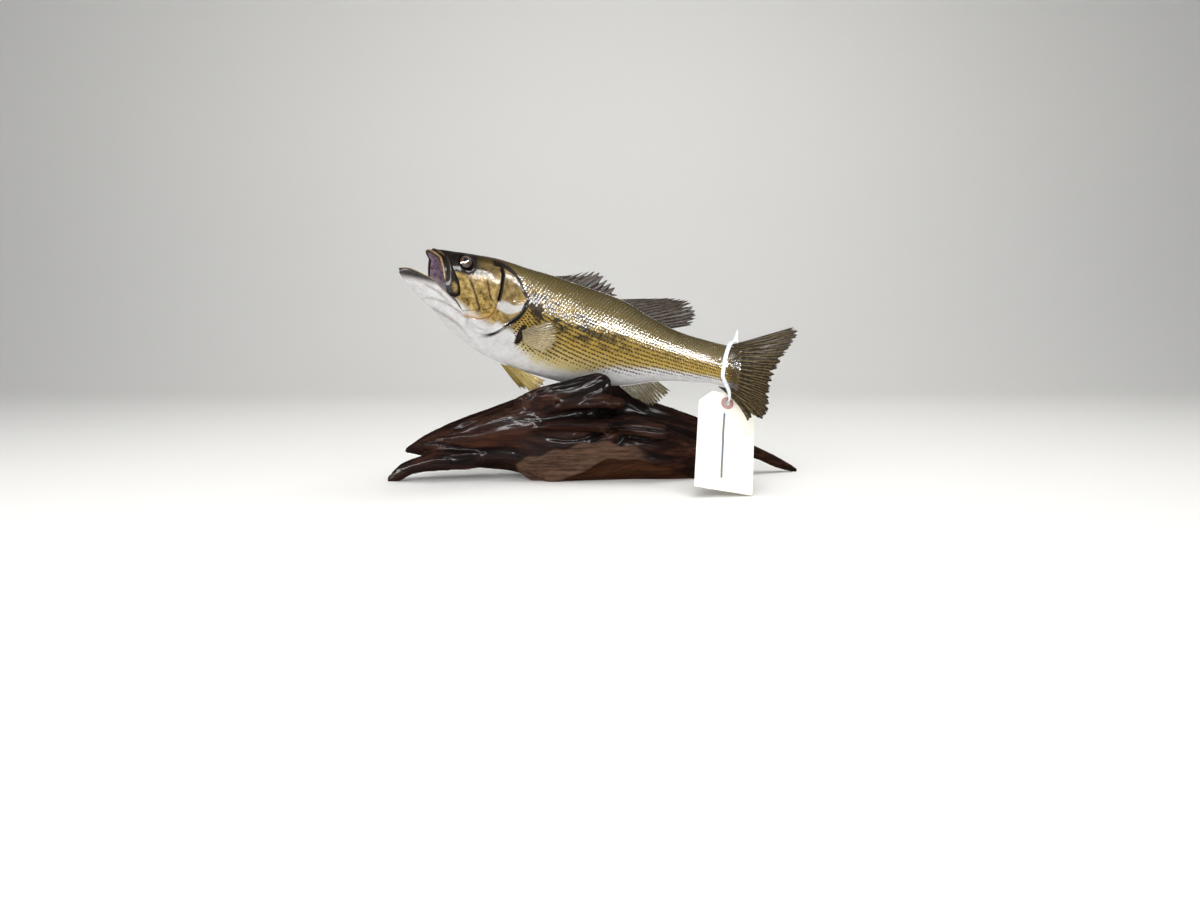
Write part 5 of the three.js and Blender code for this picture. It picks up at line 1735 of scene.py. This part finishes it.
def card_material():
    """Buff tag card, fibrous and a little soiled, with one plain blue pen stroke on its face.

    The stroke lies 3 mm off the card's middle, wavers a little, and stops short of both ends.
    """
    paint = Paint("tag card")
    spot = paint.add("ShaderNodeTexCoord", out="Object")
    across, upward, _ = tag_axes()
    from_hole = paint.add("ShaderNodeVectorMath", {"operation": "SUBTRACT"},
                          {0: spot, 1: tuple(TAG_HOLE * MM + SHIFT)})
    aside, down = (paint.add("ShaderNodeVectorMath", {"operation": "DOT_PRODUCT"},
                             {0: from_hole, 1: tuple(axis)}, out="Value") / MM
                   for axis in (across, upward))
    fibres = paint.noise(spot, 900, 4, 0.7)
    soil = paint.noise(spot, 40, 3)
    colour = paint.ramp(fibres * 0.4 + soil * 0.6, *CARD_COLOURS)
    waver = paint.noise(paint.joined(0.0, down / 30.0, 0.0), 1.0, 2)
    stroke = (aside - (waver - 0.5) * 2.4 + 3.0).hump(0.0, 2.0).fade(0.15, 0.45)
    stroke = stroke * down.fade(-94, -91) * down.fade(-11, -14)
    colour = paint.mix(colour, PEN_BLUE, stroke)
    return paint.finish(Base_Color=colour, Roughness=0.75, Normal=paint.bump(fibres, 0.15, 0.4))


def patch_material():
    """The tag's paper ring, red-brown and worn."""
    paint = Paint("tag patch")
    spot = paint.add("ShaderNodeTexCoord", out="Object")
    worn = paint.noise(spot, 500, 4, 0.7)
    colour = paint.ramp(worn, (0.35, (0.20, 0.045, 0.03)), (0.65, (0.38, 0.12, 0.08)))
    return paint.finish(Base_Color=colour, Roughness=0.7, Normal=paint.bump(worn, 0.1, 0.4))


def strap_material():
    """Cloudy white plastic strap, a little see-through and scuffed."""
    paint = Paint("strap")
    spot = paint.add("ShaderNodeTexCoord", out="Object")
    cloud = paint.noise(spot, 260, 3)
    colour = paint.ramp(cloud, (0.3, (0.62, 0.68, 0.73)), (0.7, (0.84, 0.88, 0.91)))
    return paint.finish(Base_Color=colour, Roughness=0.3, Normal=paint.bump(cloud, 0.1, 0.3),
                        Coat_Weight=0.4, Coat_Roughness=0.1)


def painted(piece, material):
    """Gives a piece its one material."""
    piece.data.materials.clear()
    piece.data.materials.append(material)


# ---------------------------------------------------------------- the fish, its base and its tag

flesh = skin_material()
for piece in make_skin():
    painted(piece, flesh)

scales = scale_material()
table = girth_table()
for side in (1, -1):
    painted(make_scales(side, table), scales)

dark_fin = fin_material("dark fin", (0.050, 0.035, 0.028), (0.16, 0.125, 0.09),
                        (0.011, 0.007, 0.007), (0.15, 0.12, 0.09))
tail_fin = fin_material("tail fin", (0.040, 0.026, 0.012), (0.20, 0.145, 0.055),
                        (0.010, 0.006, 0.004), (0.10, 0.07, 0.032))
pale_fin = fin_material("pale fin", (0.40, 0.30, 0.12), (0.60, 0.54, 0.38),
                        (0.07, 0.05, 0.035), (0.62, 0.56, 0.36), front=0.9, spotted=0.3)
yellow_fin = fin_material("yellow fin", (0.56, 0.40, 0.10), (0.72, 0.58, 0.24),
                          (0.06, 0.038, 0.014), (0.52, 0.40, 0.13), front=0.6, spotted=0.15)
anal_fin = fin_material("anal fin", (0.13, 0.10, 0.045), (0.30, 0.24, 0.12),
                        (0.020, 0.014, 0.009), (0.26, 0.21, 0.10), front=0.3)
fin_finish = {"fin_dorsal_spiny": dark_fin, "fin_dorsal_soft": dark_fin, "fin_caudal": tail_fin,
              "fin_anal": anal_fin, "fin_pelvic_left": yellow_fin, "fin_pelvic_right": yellow_fin}
for node, spec in FINS.items():
    painted(fin_piece(node.replace("fin_", "rayed_"), node, spec), fin_finish.get(node, pale_fin))

glass = eye_material()
for side_name, side in (("left", 1), ("right", -1)):
    painted(make_eye("ball_" + side_name, side), glass)

painted(make_wood(), wood_material())
plastic = strap_material()
painted(make_loop(), plastic)
painted(make_tab(), plastic)
painted(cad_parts["tag_card"], card_material())
painted(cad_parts["tag_patch"], patch_material())

# ---------------------------------------------------------------- stage, light and camera


def make_stage():
    """A plain pale floor that sweeps up behind: a quarter circle joins floor and backdrop."""
    turn = np.linspace(0.1, np.pi / 2, 16)
    depth = np.concatenate([np.linspace(-3, 1.2, 12), 1.2 + 0.8 * np.sin(turn), np.full(6, 2.0)])
    rise = np.concatenate([np.zeros(12), 0.8 * (1 - np.cos(turn)), np.linspace(1.0, 3.5, 6)])
    x = np.linspace(-4, 4, 9)[:, None]
    points = stacked((x.size, depth.size), x, depth, rise)
    quads = quads_of(np.arange(x.size * depth.size).reshape(x.size, depth.size))
    mesh = mesh_from("studio_floor", points.reshape(-1, 3), quads)
    mesh.polygons.foreach_set("use_smooth", np.ones(len(mesh.polygons), bool))
    floor = linked("studio_floor", mesh)
    painted(floor, Paint("pale floor").finish(Base_Color=(0.78, 0.77, 0.74), Roughness=0.8))


def area_lamp(name, size, power):
    """A rectangular light in the scene."""
    light = bpy.data.lights.new(name, "AREA")
    light.shape = "RECTANGLE"
    light.size, light.size_y = size
    light.energy = power
    return linked(name, light)


def add_light(name, place_at, target, size, power):
    """A soft rectangular light aimed at a point, that leaves no reflection of itself."""
    lamp = area_lamp(name, size, power)
    lamp.location = place_at
    lamp.rotation_euler = (Vector(target) - Vector(place_at)).to_track_quat("-Z", "Y").to_euler()
    lamp.visible_glossy = False


def set_camera():
    """The camera: 27 mm lens on 36 mm, 1.09 m before the fish's spine, looking 8.5 degrees down."""
    data = bpy.data.cameras.new("camera")
    data.lens = 27
    data.sensor_width = 36
    camera = linked("camera", data)
    camera.location = Vector((0, -1.090, 0.1976)) + Vector((SHIFT[0], SHIFT[1], 0))
    camera.rotation_euler = (np.radians(90 - 8.5), 0, 0)
    bpy.context.scene.camera = camera


def add_band(nodes, target, distance, thick, radiance):
    """A chain of narrow lights, hidden from the camera, for the gloss along the flank.

    Each node is an azimuth and an elevation in degrees as seen from the target; one rectangle
    spans each neighbouring pair. Its power is the radiance times pi times its area.
    """
    azimuth, elevation = np.radians(nodes).T
    away = np.stack([np.sin(azimuth) * np.cos(elevation), -np.cos(azimuth) * np.cos(elevation),
                     np.sin(elevation)], -1)
    points = target + away * distance
    for k, (a, b) in enumerate(zip(points, points[1:])):
        middle = (a + b) / 2
        z = unit(middle - target)
        long = np.linalg.norm(b - a)
        x = unit(b - a - z * ((b - a) @ z))
        turn = Matrix(np.stack([x, np.cross(z, x), z], -1).tolist())
        lamp = area_lamp(f"band_{k}", (long, thick), radiance * np.pi * long * thick)
        lamp.matrix_world = Matrix.Translation(Vector(middle)) @ turn.to_4x4()
        lamp.visible_camera = False
        lamp.visible_diffuse = False


GLOSS_BAND = ((72, 48), (58, 41), (35, 35), (21, 24), (0, 18.5), (-22, 17.5), (-40, 16.5),
              (-61, 10), (-76, 4))
FISH_MIDDLE, WHOLE_MIDDLE = (0.0, 0.0, 0.17), (0.0, 0.0, 0.15)


make_stage()
add_band(GLOSS_BAND, np.array(FISH_MIDDLE), 1.6, 0.15, 180)
add_light("top", (0.3, -0.1, 1.9), WHOLE_MIDDLE, (1.6, 1.2), 30)
add_light("front", (-0.5, -1.7, 1.1), WHOLE_MIDDLE, (1.2, 1.2), 22)
world = bpy.data.worlds.new("studio")
world.use_nodes = True
world.node_tree.nodes["Background"].inputs["Color"].default_value = (0.93, 0.95, 1, 1)
world.node_tree.nodes["Background"].inputs["Strength"].default_value = 0.25
bpy.context.scene.world = world
bpy.context.scene.view_settings.view_transform = "Standard"
set_camera()
